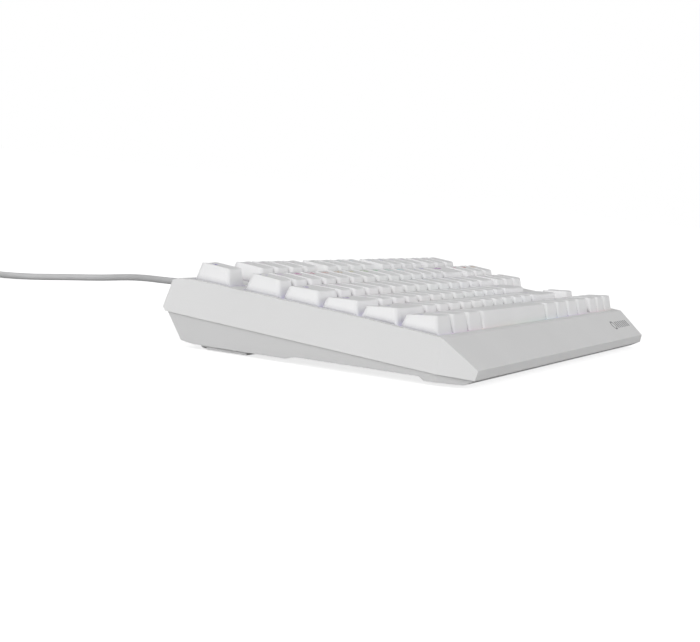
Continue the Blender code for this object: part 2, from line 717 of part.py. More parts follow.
def make_switch_plate(parts, cutters, deck, material):
    bm = bmesh.new()
    low = PLATE_TOP - PLATE_THICKNESS
    add_box(bm, (-PLATE_HALF_WIDTH, PLATE_FRONT, low), (PLATE_HALF_WIDTH, PLATE_REAR, PLATE_TOP))
    plate = add_object("switch_plate", finish_mesh(bm, "switch_plate"), parts, deck)
    upper, lower, stems = bmesh.new(), bmesh.new(), bmesh.new()
    base = (HOUSING_BASE, HOUSING_BASE)
    foot = (HOUSING_BASE - 0.001, HOUSING_BASE - 0.001)
    hole = STEM_WIDTH / 2 + 0.0004
    for row, units, _ in all_keys():
        x, y = unit_x(units), row[0]
        tapered_box(upper, x, y, base, (0.0118, 0.0108), PLATE_TOP - 0.0005, HOUSING_TOP)
        tapered_box(lower, x, y, foot, base, BOARD_TOP + GAP, low + 0.0005)
        add_box(stems, (x - hole, y - hole, BOARD_TOP + 0.001), (x + hole, y + hole, 0.001))
    for name, bm, operation in (
        ("housing_tops", upper, "UNION"),
        ("housing_bodies", lower, "UNION"),
        ("stem_holes", stems, "DIFFERENCE"),
    ):
        combine(plate, add_object(name, finish_mesh(bm, name), cutters, deck), operation)
    holes = post_mesh("plate_post_holes", POST_RADIUS + 0.0005, lambda y: -0.02, lambda y: 0.0)
    combine(plate, add_object("plate_post_holes", holes, cutters, deck), "DIFFERENCE")
    finish_part(plate, material)


def make_circuit_board(parts, cutters, deck, material):
    low = BOARD_TOP - BOARD_THICKNESS
    bm = bmesh.new()
    add_box(bm, (-PLATE_HALF_WIDTH, PLATE_FRONT, low), (PLATE_HALF_WIDTH, PLATE_REAR, BOARD_TOP))
    board = add_object("circuit_board", finish_mesh(bm, "circuit_board"), parts, deck)
    bm = bmesh.new()
    add_box(bm, (-0.030, 0.088, low - 0.0012), (-0.020, 0.098, low + 0.0004))
    add_box(bm, (0.000, 0.100, low - 0.0045), (0.012, 0.106, low + 0.0004))
    chips = add_object("board_parts", finish_mesh(bm, "board_parts"), cutters, deck)
    combine(board, chips, "UNION")
    combine(board, bpy.data.objects["plate_post_holes"], "DIFFERENCE")
    finish_part(board, material)


# ---- Lead ----------------------------------------------------------------------------------
BOOT_LENGTH = 0.016
CORD_START = REAR_OUT + BOOT_LENGTH + GAP
# Route of the lead from its boot to its coil: it sags to the table, then bends round to the coil.
ROUTE = [
    (0.0000, CORD_START, EXIT_HEIGHT),
    (0.0002, 0.1096, 0.0190),
    (0.0010, 0.1296, 0.0175),
    (0.0042, 0.1496, 0.0155),
    (0.0120, 0.1696, 0.0142),
    (0.0265, 0.1886, 0.0128),
    (0.0405, 0.2076, 0.0107),
    (0.0480, 0.2296, 0.0076),
    (0.0465, 0.2526, 0.0051),
    (0.0410, 0.2716, 0.0031),
    (0.0372, 0.2886, 0.0021),
    (0.0351, 0.3061, 0.0020),
]


def smooth_route(points, count):
    """Evenly spaced points on a Catmull-Rom curve through the route's points."""
    vectors = [Vector(point) for point in points]
    vectors = [2 * vectors[0] - vectors[1]] + vectors + [2 * vectors[-1] - vectors[-2]]
    fine = []
    for p0, p1, p2, p3 in zip(vectors, vectors[1:], vectors[2:], vectors[3:]):
        for step in range(24):
            t = step / 24
            fine.append(
                0.5
                * (
                    2 * p1
                    + (p2 - p0) * t
                    + (2 * p0 - 5 * p1 + 4 * p2 - p3) * t * t
                    + (3 * p1 - p0 - 3 * p2 + p3) * t * t * t
                )
            )
    fine.append(vectors[-2])
    lengths = [0.0]
    for a, b in zip(fine, fine[1:]):
        lengths.append(lengths[-1] + (b - a).length)
    even = []
    index = 0
    for step in range(count):
        target = lengths[-1] * step / (count - 1)
        while index < len(fine) - 2 and lengths[index + 1] < target:
            index += 1
        share = (target - lengths[index]) / (lengths[index + 1] - lengths[index])
        even.append(fine[index].lerp(fine[index + 1], min(max(share, 0.0), 1.0)))
    return even


def make_cord_tube(parts, material):
    points = smooth_route(ROUTE, 36)
    curve = bpy.data.curves.new("cord_tube", "CURVE")
    curve.dimensions = "3D"
    curve.bevel_depth = CORD_RADIUS
    curve.bevel_resolution = 2
    curve.use_fill_caps = True
    spline = curve.splines.new("POLY")
    spline.points.add(len(points) - 1)
    for target, point in zip(spline.points, points):
        target.co = (*point, 1)
    curve.materials.append(material)
    add_object("cord_tube", curve, parts)


def make_cord_coil(parts, cutters, material):
    """The turned outer shape of the coiled part of the lead, with its two short ends."""
    spread = COIL_COLUMNS * COIL_PITCH / 2
    inner, outer = COIL_MID_RADIUS - spread, COIL_MID_RADIUS + spread
    corner = 0.0012
    profile = [
        (outer - corner, COIL_HEIGHT),
        (outer, COIL_HEIGHT - corner),
        (outer, corner),
        (outer - corner, 0),
        (inner + corner, 0),
        (inner, corner),
        (inner, COIL_HEIGHT - corner),
        (inner + corner, COIL_HEIGHT),
    ]
    mesh = bpy.data.meshes.new("cord_coil")
    count = len(profile)
    ring = [(index, (index + 1) % count) for index in range(count)]
    mesh.from_pydata([(x, 0, z) for x, z in profile], ring, [])
    coil = add_object("cord_coil", mesh, parts, None, (*COIL_CENTRE, 0))
    screw = coil.modifiers.new("Turn", "SCREW")
    screw.axis = "Z"
    screw.steps = screw.render_steps = 28
    screw.use_merge_vertices = True
    screw.merge_threshold = 0.0001
    bm = bmesh.new()
    turn_radius = outer - COIL_PITCH / 2
    end = Vector(ROUTE[-1]) - Vector((*COIL_CENTRE, 0))
    entry = Vector((turn_radius * math.cos(ENTRY_ANGLE), turn_radius * math.sin(ENTRY_ANGLE), end.z))
    add_cylinder(bm, CORD_RADIUS * 0.98, end + (entry - end).normalized() * GAP, entry, 8)
    tail_z = PLUG_AXIS_HEIGHT
    add_cylinder(bm, CORD_RADIUS * 0.98, (0, turn_radius, tail_z), (-TAIL_LENGTH, turn_radius, tail_z), 8)
    ends = add_object("coil_ends", finish_mesh(bm, "coil_ends"), cutters, None, (*COIL_CENTRE, 0))
    combine(coil, ends, "UNION")
    finish_part(coil, material, smooth=True)


PLUG_AXIS_HEIGHT = 0.0045
TAIL_LENGTH = 0.022
PLUG_Y = COIL_CENTRE[1] + COIL_MID_RADIUS + (COIL_COLUMNS - 1) * COIL_PITCH / 2
PLUG_START = COIL_CENTRE[0] - TAIL_LENGTH - GAP


def make_plug(parts, cutters, rubber, metal):
    """The USB plug: a moulded grip with a short boot, and a metal shell with its mouth open."""
    boot_end = PLUG_START - 0.009
    grip_end = boot_end - 0.024
    bm = bmesh.new()
    add_box(bm, (grip_end, PLUG_Y - 0.0078, 0.0004), (boot_end, PLUG_Y + 0.0078, 0.0086))
    bmesh.ops.bevel(bm, geom=bm.edges[:], offset=0.0012, segments=2, affect="EDGES")
    grip = add_object("usb_plug_grip", finish_mesh(bm, "usb_plug_grip"), parts)
    bm = bmesh.new()
    start = (PLUG_START, PLUG_Y, PLUG_AXIS_HEIGHT)
    add_cylinder(bm, 0.0023, start, (boot_end - 0.002, PLUG_Y, PLUG_AXIS_HEIGHT), 12, 0.0033)
    combine(grip, add_object("plug_boot", finish_mesh(bm, "plug_boot"), cutters), "UNION")
    finish_part(grip, rubber, smooth=True)
    shell_start, shell_end = grip_end - GAP, grip_end - GAP - 0.012
    z_low, z_high = PLUG_AXIS_HEIGHT - 0.00225, PLUG_AXIS_HEIGHT + 0.00225
    bm = bmesh.new()
    add_box(bm, (shell_end, PLUG_Y - 0.006, z_low), (shell_start, PLUG_Y + 0.006, z_high))
    shell = add_object("usb_plug_shell", finish_mesh(bm, "usb_plug_shell"), parts)
    bm = bmesh.new()
    reach = 0.006 - 0.0004
    mouth_low = (shell_end - 0.001, PLUG_Y - reach, z_low + 0.0004)
    add_box(bm, mouth_low, (shell_start - 0.002, PLUG_Y + reach, PLUG_AXIS_HEIGHT + 0.0001))
    mouth = add_object("plug_mouth", finish_mesh(bm, "plug_mouth"), cutters)
    combine(shell, mouth, "DIFFERENCE")
    finish_part(shell, metal)


def make_boot(parts, material):
    """The turned strain relief: a flange inside the wall, a neck through it and a tapered sleeve."""
    wall_in = -SHELL / math.cos(math.radians(12)) - 0.0019
    profile = [
        (0.0, BOOT_LENGTH),
        (0.0023, BOOT_LENGTH),
        (0.0036, 0.0040),
        (0.0052, 0.0034),
        (0.0052, 0.0020),
        (0.0038, 0.0020),
        (0.0038, wall_in),
        (0.0050, wall_in),
        (0.0050, wall_in - 0.0013),
        (0.0, wall_in - 0.0013),
    ]
    mesh = bpy.data.meshes.new("strain_relief")
    edges = [(index, index + 1) for index in range(len(profile) - 1)]
    mesh.from_pydata([(radius, 0, along) for radius, along in profile], edges, [])
    boot = add_object("strain_relief", mesh, parts, None, (0, REAR_OUT, EXIT_HEIGHT))
    boot.rotation_euler = (math.radians(-90), 0, 0)
    screw = boot.modifiers.new("Turn", "SCREW")
    screw.axis = "Z"
    screw.steps = screw.render_steps = 20
    screw.use_merge_vertices = True
    screw.merge_threshold = 0.0001
    finish_part(boot, material, smooth=True)


# ---- Everything ----------------------------------------------------------------------------
def main():
    clear_scene()
    parts = new_collection("mechanical_keyboard")
    cutters = new_collection("cutters", hidden=True)
    deck = add_object("deck_frame", None, parts)
    deck.matrix_world = DECK
    white = new_material("case_white", (0.78, 0.78, 0.79), 0.45)
    cap = new_material("keycap_white", (0.86, 0.86, 0.87), 0.5)
    steel = new_material("plate_white", (0.75, 0.75, 0.76), 0.35, 0.3)
    green = new_material("board", (0.05, 0.20, 0.09), 0.5)
    rubber = new_material("pad_rubber", (0.09, 0.09, 0.09), 0.85)
    cord = new_material("cord_light_grey", (0.62, 0.62, 0.63), 0.5)
    metal = new_material("plug_metal", (0.70, 0.70, 0.72), 0.3, 1.0)
    screw = new_material("screw_steel", (0.25, 0.25, 0.26), 0.4, 1.0)
    make_top_case(parts, cutters, deck, white)
    make_bottom_case(parts, cutters, deck, white)
    make_keys(parts, cutters, deck, cap)
    make_switch_plate(parts, cutters, deck, steel)
    make_circuit_board(parts, cutters, deck, green)
    make_pads(parts, rubber)
    make_feet(parts, cutters, white)
    make_screws(parts, deck, screw)
    make_boot(parts, cord)
    make_cord_tube(parts, cord)
    make_cord_coil(parts, cutters, cord)
    make_plug(parts, cutters, cord, metal)
    for cutter in cutters.objects:
        cutter.hide_render = True
        cutter.display_type = "WIRE"


main()
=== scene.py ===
"""Looks for the tenkeyless mechanical keyboard: keycaps with legends, moulded plastic, lead and plug.

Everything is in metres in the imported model's frame: the table is z = 0 and the user sits on the -Y
side. The deck frame, whose X-Y plane holds the keycaps' lower edges, is tilted about X.
"""

import math

import bmesh
import bpy
from mathutils import Matrix, Vector


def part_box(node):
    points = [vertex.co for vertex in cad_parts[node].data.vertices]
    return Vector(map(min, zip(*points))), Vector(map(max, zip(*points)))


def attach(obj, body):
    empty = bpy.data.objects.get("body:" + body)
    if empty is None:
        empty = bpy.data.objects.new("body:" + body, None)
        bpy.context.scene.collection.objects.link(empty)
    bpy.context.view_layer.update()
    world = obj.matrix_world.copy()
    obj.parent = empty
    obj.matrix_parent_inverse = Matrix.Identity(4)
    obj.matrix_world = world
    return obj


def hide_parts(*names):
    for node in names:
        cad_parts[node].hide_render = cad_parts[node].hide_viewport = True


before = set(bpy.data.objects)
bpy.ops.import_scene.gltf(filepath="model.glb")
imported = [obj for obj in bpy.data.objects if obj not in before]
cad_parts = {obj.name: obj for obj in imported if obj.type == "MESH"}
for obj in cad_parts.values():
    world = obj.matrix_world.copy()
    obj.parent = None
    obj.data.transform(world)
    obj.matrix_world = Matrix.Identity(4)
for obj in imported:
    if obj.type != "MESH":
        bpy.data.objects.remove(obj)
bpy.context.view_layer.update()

# ---- Deck frame, as in the CAD -------------------------------------------------------------
TILT = math.radians(4.6)
PITCH = 0.01905
BLOCK_UNITS = 18.25
DECK_HEIGHT = 0.0220
FRONT_LIP, REAR_WALL = -0.0320, 0.1180
BAND_LEVEL, WAIST_LEVEL, SEAM_LEVEL = -0.0110, -0.0138, -0.0155
WAIST_HALF_WIDTH, LIP_HALF_WIDTH, CORNER_START = 0.1824, 0.1739, -0.0160
REAR_CHAMFER, SEAM_STEP, GAP = 0.0017, 0.0010, 0.0003
RIM_FRONT, RIM_FRONT_LEVEL = -0.0150, 0.0003
ROW_START = -0.0016
DECK_TURN = Matrix.Rotation(TILT, 4, "X")
LIP_Y = (DECK_TURN @ Vector((0, FRONT_LIP, BAND_LEVEL))).y
REAR_Y = (DECK_TURN @ Vector((0, REAR_WALL, WAIST_LEVEL))).y
DECK = Matrix.Translation((0, -(LIP_Y + REAR_Y) / 2, DECK_HEIGHT * math.cos(TILT))) @ DECK_TURN


def unit_x(units):
    """Deck X of a place counted in key units from the left edge of the key block."""
    return (units - BLOCK_UNITS / 2) * PITCH


# ---- Camera --------------------------------------------------------------------------------
CAMERA_PLACE = (-0.95386, -0.29891, 0.09061)
CAMERA_FORWARD = (0.93591, 0.34255, -0.08202)
CAMERA_RIGHT = (0.35011, -0.93023, 0.11000)
SENSOR_MM, LENS_MM = 36.0, 96.39


def add_camera():
    """A long lens low at the keyboard's left, turned a little clockwise about its own axis."""
    forward = Vector(CAMERA_FORWARD).normalized()
    right = Vector(CAMERA_RIGHT)
    right = (right - forward * right.dot(forward)).normalized()
    up = right.cross(forward)
    data = bpy.data.cameras.new("camera")
    data.sensor_width = SENSOR_MM
    data.lens = LENS_MM
    data.clip_start = 0.05
    camera = bpy.data.objects.new("camera", data)
    bpy.context.scene.collection.objects.link(camera)
    turn = Matrix((right, up, -forward)).transposed().to_4x4()
    camera.matrix_world = Matrix.Translation(CAMERA_PLACE) @ turn
    bpy.context.scene.camera = camera


add_camera()


# ---- Node materials ------------------------------------------------------------------------
# Reach of the painted shade in the gaps between keycaps.
GAP_SHADE_REACH = 0.0075
LED_HALF_SPAN, FIRST_HUE, LAST_HUE = 0.174, 0.66, 2.15


class Shader:
    """A Principled material and a few short ways to wire nodes into it."""

    def __init__(self, name, colour, roughness, metallic=0.0):
        self.material = bpy.data.materials.new(name)
        self.material.use_nodes = True
        self.tree = self.material.node_tree
        self.principled = self.tree.nodes["Principled BSDF"]
        self.set("Base Color", (*colour, 1.0))
        self.set("Roughness", roughness)
        self.set("Metallic", metallic)
        self.colour = colour

    def set(self, socket, value):
        """Sets a socket of the Principled shader."""
        self.principled.inputs[socket].default_value = value

    def node(self, kind, **values):
        """A new node; each value is one of its settings, or an input written with underscores."""
        made = self.tree.nodes.new(kind)
        for name, value in values.items():
            if hasattr(made, name):
                setattr(made, name, value)
            else:
                made.inputs[name.replace("_", " ")].default_value = value
        return made

    def link(self, source, target):
        """Links an output to an input."""
        self.tree.links.new(source, target)

    def place(self):
        """The object's own coordinates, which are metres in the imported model's frame."""
        return self.node("ShaderNodeTexCoord").outputs["Object"]

    def noise(self, scale, detail=2.0, roughness=0.5):
        """Noise over the object's own coordinates."""
        made = self.node("ShaderNodeTexNoise", Scale=scale, Detail=detail, Roughness=roughness)
        self.link(self.place(), made.inputs["Vector"])
        return made.outputs["Fac"]

    def ramp(self, source, stops):
        """A colour by a 0 to 1 source, from (position, colour) stops."""
        made = self.node("ShaderNodeValToRGB")
        elements = made.color_ramp.elements
        while len(elements) < len(stops):
            elements.new(0.5)
        for element, (position, colour) in zip(elements, stops):
            element.position = position
            element.color = (*colour, 1.0)
        self.link(source, made.inputs["Fac"])
        return made.outputs["Color"]

    def spread(self, source, low, high, socket):
        """Maps a 0 to 1 source onto low to high and into a socket of the shader."""
        made = self.node("ShaderNodeMapRange", To_Min=low, To_Max=high)
        self.link(source, made.inputs["Value"])
        self.link(made.outputs["Result"], self.principled.inputs[socket])

    def bump(self, source, strength, distance):
        """Adds bump from a 0 to 1 source, on top of any bump that is already there."""
        made = self.node("ShaderNodeBump", Strength=strength, Distance=distance)
        self.link(source, made.inputs["Height"])
        earlier = self.principled.inputs["Normal"].links
        if earlier:
            self.link(earlier[0].from_socket, made.inputs["Normal"])
        self.link(made.outputs["Normal"], self.principled.inputs["Normal"])

    def tint(self, source, low, high):
        """Base colour between two shades of the material, by a 0 to 1 source."""
        shade = [(0.35, tuple(c * low for c in self.colour)), (0.65, tuple(c * high for c in self.colour))]
        self.link(self.ramp(source, shade), self.principled.inputs["Base Color"])


def plastic_shader(name, colour, roughness, grain, depth):
    """Injection-moulded ABS: faint flow shading, a fine spark-eroded grain and uneven gloss."""
    shader = Shader(name, colour, roughness)
    shader.tint(shader.noise(18.0, 3.0), 0.985, 1.015)
    shader.spread(shader.noise(160.0, 2.0), roughness - 0.05, roughness + 0.06, "Roughness")
    shader.bump(shader.noise(grain, 2.0, 0.6), 0.35, depth)
    shader.bump(shader.noise(grain / 9, 2.0), 0.15, depth * 2)
    shader.set("Specular IOR Level", 0.45)
    return shader


def moulded_plastic(*look):
    """The material of a plastic_shader with these arguments."""
    return plastic_shader(*look).material


def keycap_material(name, colour):
    """Satin ABS with painted shade: its left-facing faces are darkened where ambient occlusion finds them
    deep in the narrow gaps between caps.
    """
    shader = plastic_shader(name, colour, 0.42, 2600.0, 0.00002)
    target = shader.principled.inputs["Base Color"]
    plain = target.links[0].from_socket
    # Painted shade: ambient occlusion darkens the caps' left-facing faces inside the gaps between them.
    gap_occlusion = shader.node("ShaderNodeAmbientOcclusion", samples=8, Distance=GAP_SHADE_REACH)
    depth = shader.node("ShaderNodeMapRange", From_Min=0.28, From_Max=0.66, To_Min=0.10)
    facing = shader.node("ShaderNodeTexCoord")
    split = shader.node("ShaderNodeSeparateXYZ")
    side = shader.node("ShaderNodeMapRange", From_Min=-0.40, From_Max=-0.80)
    shade = shader.node("ShaderNodeMix", A=1.0)
    colour_with_painted_shade = shader.node("ShaderNodeVectorMath", operation="SCALE")
    shader.link(facing.outputs["Normal"], split.inputs["Vector"])
    shader.link(split.outputs["X"], side.inputs["Value"])
    shader.link(gap_occlusion.outputs["AO"], depth.inputs["Value"])
    shader.link(side.outputs["Result"], shade.inputs["Factor"])
    shader.link(depth.outputs["Result"], shade.inputs["B"])
    shader.link(plain, colour_with_painted_shade.inputs[0])
    shader.link(shade.outputs["Result"], colour_with_painted_shade.inputs["Scale"])
    shader.link(colour_with_painted_shade.outputs["Vector"], target)
    return shader.material


def rainbow(shader, power):
    """Light of the switches' LEDs: the hue runs along X, and its strength is the same everywhere."""
    split = shader.node("ShaderNodeSeparateXYZ")
    shader.link(shader.place(), split.inputs["Vector"])
    span = {"From_Min": -LED_HALF_SPAN, "From_Max": LED_HALF_SPAN, "To_Min": FIRST_HUE, "To_Max": LAST_HUE}
    hue = shader.node("ShaderNodeMapRange", clamp=False, **span)
    shader.link(split.outputs["X"], hue.inputs["Value"])
    wrap = shader.node("ShaderNodeMath", operation="FRACT")
    shader.link(hue.outputs["Result"], wrap.inputs[0])
    stops = [(0.0, (1, 0.05, 0.05)), (0.17, (1, 0.8, 0.05)), (0.33, (0.1, 1, 0.1)), (0.5, (0.05, 0.9, 1))]
    stops += [(0.67, (0.15, 0.1, 1)), (0.85, (1, 0.1, 0.8)), (1.0, (1, 0.05, 0.05))]
    colour = shader.ramp(wrap.outputs["Value"], stops)
    shader.link(colour, shader.principled.inputs["Emission Color"])
    shader.set("Emission Strength", power)
    return colour


def legend_material(name, grey, tint, power):
    """Translucent legends, grey where unlit and tinted by the LED under each key."""
    shader = Shader(name, (grey, grey, grey), 0.5)
    colour = rainbow(shader, power)
    mix = shader.node("ShaderNodeMix", data_type="RGBA")
    mix.inputs["Factor"].default_value = tint
    mix.inputs["A"].default_value = (grey, grey, grey * 1.08, 1)
    shader.link(colour, mix.inputs["B"])
    shader.link(mix.outputs["Result"], shader.principled.inputs["Base Color"])
    shader.bump(shader.noise(2500.0), 0.1, 0.00002)
    return shader.material


def plate_material():
    """White lacquered aluminium with painted light: it glows a light white with a little of each LED's hue,
    for the switches' light falling on it.
    """
    shader = Shader("plate", (0.80, 0.80, 0.81), 0.4, 0.0)
    shader.spread(shader.noise(300.0), 0.32, 0.48, "Roughness")
    shader.bump(shader.noise(900.0), 0.2, 0.00004)
    # Painted light: the LEDs' light on the plate is an emission glow.
    colour = rainbow(shader, 0.45)
    painted_led_glow = shader.node("ShaderNodeMix", data_type="RGBA")
    painted_led_glow.inputs["Factor"].default_value = 0.35
    painted_led_glow.inputs["A"].default_value = (0.85, 0.85, 0.95, 1)
    shader.link(colour, painted_led_glow.inputs["B"])
    shader.link(painted_led_glow.outputs["Result"], shader.principled.inputs["Emission Color"])
    return shader.material


def board_material():
    """Green solder mask with copper tracks showing through as lighter lines."""
    shader = Shader("board", (0.03, 0.16, 0.07), 0.35)
    tracks = shader.node("ShaderNodeTexBrick", Scale=180.0)
    shader.link(shader.place(), tracks.inputs["Vector"])
    tracks.inputs["Color1"].default_value = (0.03, 0.16, 0.07, 1)
    tracks.inputs["Color2"].default_value = (0.035, 0.18, 0.08, 1)
    tracks.inputs["Mortar"].default_value = (0.06, 0.28, 0.11, 1)
    shader.link(tracks.outputs["Color"], shader.principled.inputs["Base Color"])
    shader.bump(tracks.outputs["Fac"], 0.2, 0.00005)
    return shader.material


def rubber_material():
    """Dull black rubber with a coarse grain."""
    shader = Shader("pad_rubber", (0.05, 0.05, 0.052), 0.85)
    shader.tint(shader.noise(220.0, 4.0), 0.8, 1.25)
    shader.bump(shader.noise(1800.0, 3.0), 0.5, 0.00006)
    return shader.material


def cord_material(name, colour):
    """Smooth PVC with faint length-wise drawing marks."""
    shader = Shader(name, colour, 0.42)
    shader.tint(shader.noise(60.0, 2.0), 0.97, 1.03)
    shader.spread(shader.noise(400.0, 2.0), 0.36, 0.5, "Roughness")
    shader.bump(shader.noise(2200.0, 2.0), 0.15, 0.00003)
    return shader.material


def metal_material(name, colour, roughness):
    """Plated or blackened metal with short fine scratches."""
    shader = Shader(name, colour, roughness, 1.0)
    stretch = shader.node("ShaderNodeMapping")
    stretch.inputs["Scale"].default_value = (60.0, 1600.0, 1600.0)
    shader.link(shader.place(), stretch.inputs["Vector"])
    marks = shader.node("ShaderNodeTexNoise", Scale=1.0, Detail=3.0)
    shader.link(stretch.outputs["Vector"], marks.inputs["Vector"])
    shader.spread(marks.outputs["Fac"], roughness - 0.08, roughness + 0.12, "Roughness")
    shader.bump(marks.outputs["Fac"], 0.15, 0.00002)
    return shader.material


CASE = moulded_plastic("case_plastic", (0.82, 0.82, 0.82), 0.48, 1500.0, 0.00005)
# The keycap material carries painted shade on left faces in the gaps between caps.
KEYCAP = keycap_material("keycap_plastic_gap_shade", (0.92, 0.92, 0.925))
LEGEND = legend_material("legend", 0.20, 0.30, 0.06)
PALE_LEGEND = legend_material("pale_legend", 0.62, 0.08, 0.01)
PLATE = plate_material()
BOARD = board_material()
RUBBER = rubber_material()
SHEATH = cord_material("cord_sheath", (0.62, 0.62, 0.625))
INK = moulded_plastic("mark_ink", (0.27, 0.27, 0.28), 0.5, 3000.0, 0.00001)
GRIP = moulded_plastic("plug_plastic", (0.66, 0.66, 0.665), 0.5, 1800.0, 0.00004)
GILT = metal_material("gilt_contacts", (0.85, 0.62, 0.28), 0.3)
PLATED = metal_material("plated_steel", (0.75, 0.75, 0.77), 0.28)
BLACKENED = metal_material("screw_steel", (0.10, 0.10, 0.105), 0.42)


# ---- Mesh helpers --------------------------------------------------------------------------
def add_piece(name, mesh, body, material):
    """A visible piece that rides on a body of the model and wears a material in a slot."""
    piece = bpy.data.objects.new(name, mesh)
    bpy.context.scene.collection.objects.link(piece)
    mesh.materials.clear()
    mesh.materials.append(material)
    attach(piece, body)
    return piece


def mesh_from(bm, name, smooth_angle=35):
    """Turns bm into a mesh that is smooth over edges flatter than the angle."""
    bmesh.ops.recalc_face_normals(bm, faces=bm.faces[:])
    mesh = bpy.data.meshes.new(name)
    bm.to_mesh(mesh)
    bm.free()
    mesh.shade_smooth()
    mesh.set_sharp_from_angle(angle=math.radians(smooth_angle))
    return mesh


def bridge(bm, lower, upper):
    """Faces between two closed loops of vertices."""
    count = len(lower)
    for index in range(count):
        follow = (index + 1) % count
        bm.faces.new((lower[index], lower[follow], upper[follow], upper[index]))


def skin(bm, rings):
    """Faces between each loop of vertices and the next, and over the first and the last."""
    for first, second in zip(rings, rings[1:]):
        bridge(bm, first, second)
    bm.faces.new(rings[0])
    bm.faces.new(rings[-1])


def close_round(bm, rings):
    """Faces between each loop of vertices and the next, and between the last and the first."""
    for first, second in zip(rings, rings[1:] + rings[:1]):
        bridge(bm, first, second)


def add_turned(bm, profile, steps, place):
    """A turned body about the place's Z, from (radius, z) points that start and end on the axis."""
    rings = []
    for radius, z in profile:
        if radius < 1e-7:
            rings.append([bm.verts.new(place @ Vector((0, 0, z)))])
            continue
        angles = [2 * math.pi * step / steps for step in range(steps)]
        ring = [Vector((radius * math.cos(a), radius * math.sin(a), z)) for a in angles]
        rings.append([bm.verts.new(place @ point) for point in ring])
    for low, high in zip(rings, rings[1:]):
        for index in range(steps):
            follow = (index + 1) % steps
            if len(low) == 1 and len(high) == 1:
                break
            if len(low) == 1:
                bm.faces.new((low[0], high[follow], high[index]))
            elif len(high) == 1:
                bm.faces.new((low[index], low[follow], high[0]))
            else:
                bm.faces.new((low[index], low[follow], high[follow], high[index]))


# ---- Lead ----------------------------------------------------------------------------------
CORD_RADIUS = 0.0019
BOOT_LENGTH = 0.016
PLUG_AXIS_HEIGHT = 0.0045
PLUG_BOOT_LENGTH, PLUG_HALF_HEIGHT, PLUG_CORNER = 0.009, 0.0040, 0.0014
LYING_HEIGHT = 0.0020
BOOT_LOW, BOOT_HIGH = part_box("strain_relief")
EXIT = Vector((0, BOOT_HIGH.y, (BOOT_LOW.z + BOOT_HIGH.z) / 2))
ROUTE = [
    (0.0000, EXIT.y - 0.002, EXIT.z),
    (0.0002, 0.1096, 0.0190),
    (0.0010, 0.1296, 0.0175),
    (0.0042, 0.1496, 0.0155),
    (0.0120, 0.1696, 0.0142),
    (0.0265, 0.1886, 0.0128),
    (0.0405, 0.2076, 0.0107),
    (0.0480, 0.2296, 0.0076),
    (0.0465, 0.2526, 0.0051),
    (0.0410, 0.2716, 0.0031),
    (0.0372, 0.2886, 0.0021),
    (0.0351, 0.3061, LYING_HEIGHT),
]
COIL_CENTRE = Vector((0.003, 0.3226, 0))
COIL_MID_RADIUS = 0.0234
COIL_COLUMNS = 5
COIL_PITCH = 0.0039
LAYER_RISE = 0.0037
ENTRY_ANGLE = 0.05
TURN_STEPS = 20


def coil_points():
    """Two flat spirals, one on the other: inwards on the table, then outwards on top of it."""
    outer = COIL_MID_RADIUS + (COIL_COLUMNS - 1) * COIL_PITCH / 2
    points = []
    inward = (COIL_COLUMNS - 0.5) * TURN_STEPS
    outward = int((COIL_COLUMNS - 0.26) * TURN_STEPS)
    for step in range(int(inward) + 1):
        angle = ENTRY_ANGLE + 2 * math.pi * step / TURN_STEPS
        radius = outer - COIL_PITCH * max(0.0, step / TURN_STEPS - 0.5)
        points.append((angle, radius, LYING_HEIGHT))
    last_angle, inner, _ = points[-1]
    for step in range(1, outward + 1):
        angle = last_angle + 2 * math.pi * step / TURN_STEPS
        radius = min(outer, inner + COIL_PITCH * max(0.0, step / TURN_STEPS - 0.25))
        rise = min(1.0, step / (0.25 * TURN_STEPS))
        points.append((angle, radius, LYING_HEIGHT + LAYER_RISE * rise * rise * (3 - 2 * rise)))
    return [COIL_CENTRE + Vector((r * math.cos(a), r * math.sin(a), z)) for a, r, z in points]


def path_length(points):
    """Length of the line through the points."""
    return sum((b - a).length for a, b in zip(points, points[1:]))


def smooth_route(points, per_span):
    """Points on a Catmull-Rom curve through the given points."""
    vectors = [Vector(point) for point in points]
    vectors = [2 * vectors[0] - vectors[1]] + vectors + [2 * vectors[-1] - vectors[-2]]
    fine = []
    for p0, p1, p2, p3 in zip(vectors, vectors[1:], vectors[2:], vectors[3:]):
        for step in range(per_span):
            t = step / per_span
            linear = (p2 - p0) * t
            square = (2 * p0 - 5 * p1 + 4 * p2 - p3) * t * t
            cube = (3 * p1 - p0 - 3 * p2 + p3) * t * t * t
            fine.append(0.5 * (2 * p1 + linear + square + cube))
    fine.append(vectors[-2])
    return fine


def tail_points():
    """From above the plug's boot to a little way inside it."""
    low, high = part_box("usb_plug_grip")
    axis = Vector((high.x, (low.y + high.y) / 2, PLUG_AXIS_HEIGHT))
    return [axis + Vector((0.009, 0, 0.0003)), axis + Vector((-0.002, 0, 0))]


def make_cord():
    """The whole lead as one tube, and its length."""
    key_points = [Vector(point) for point in ROUTE] + coil_points() + tail_points()
    points = smooth_route(key_points, 3)
    curve = bpy.data.curves.new("lead", "CURVE")
    curve.dimensions = "3D"
    curve.bevel_depth = CORD_RADIUS
    curve.bevel_resolution = 4
    curve.use_fill_caps = True
    spline = curve.splines.new("POLY")
    spline.points.add(len(points) - 1)
    for target, point in zip(spline.points, points):
        target.co = (*point, 1)
    curve.materials.append(SHEATH)
    lead = bpy.data.objects.new("lead", curve)
    bpy.context.scene.collection.objects.link(lead)
    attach(lead, "case")
    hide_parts("cord_tube", "cord_coil")
    return lead, path_length(points)


lead, lead_length = make_cord()


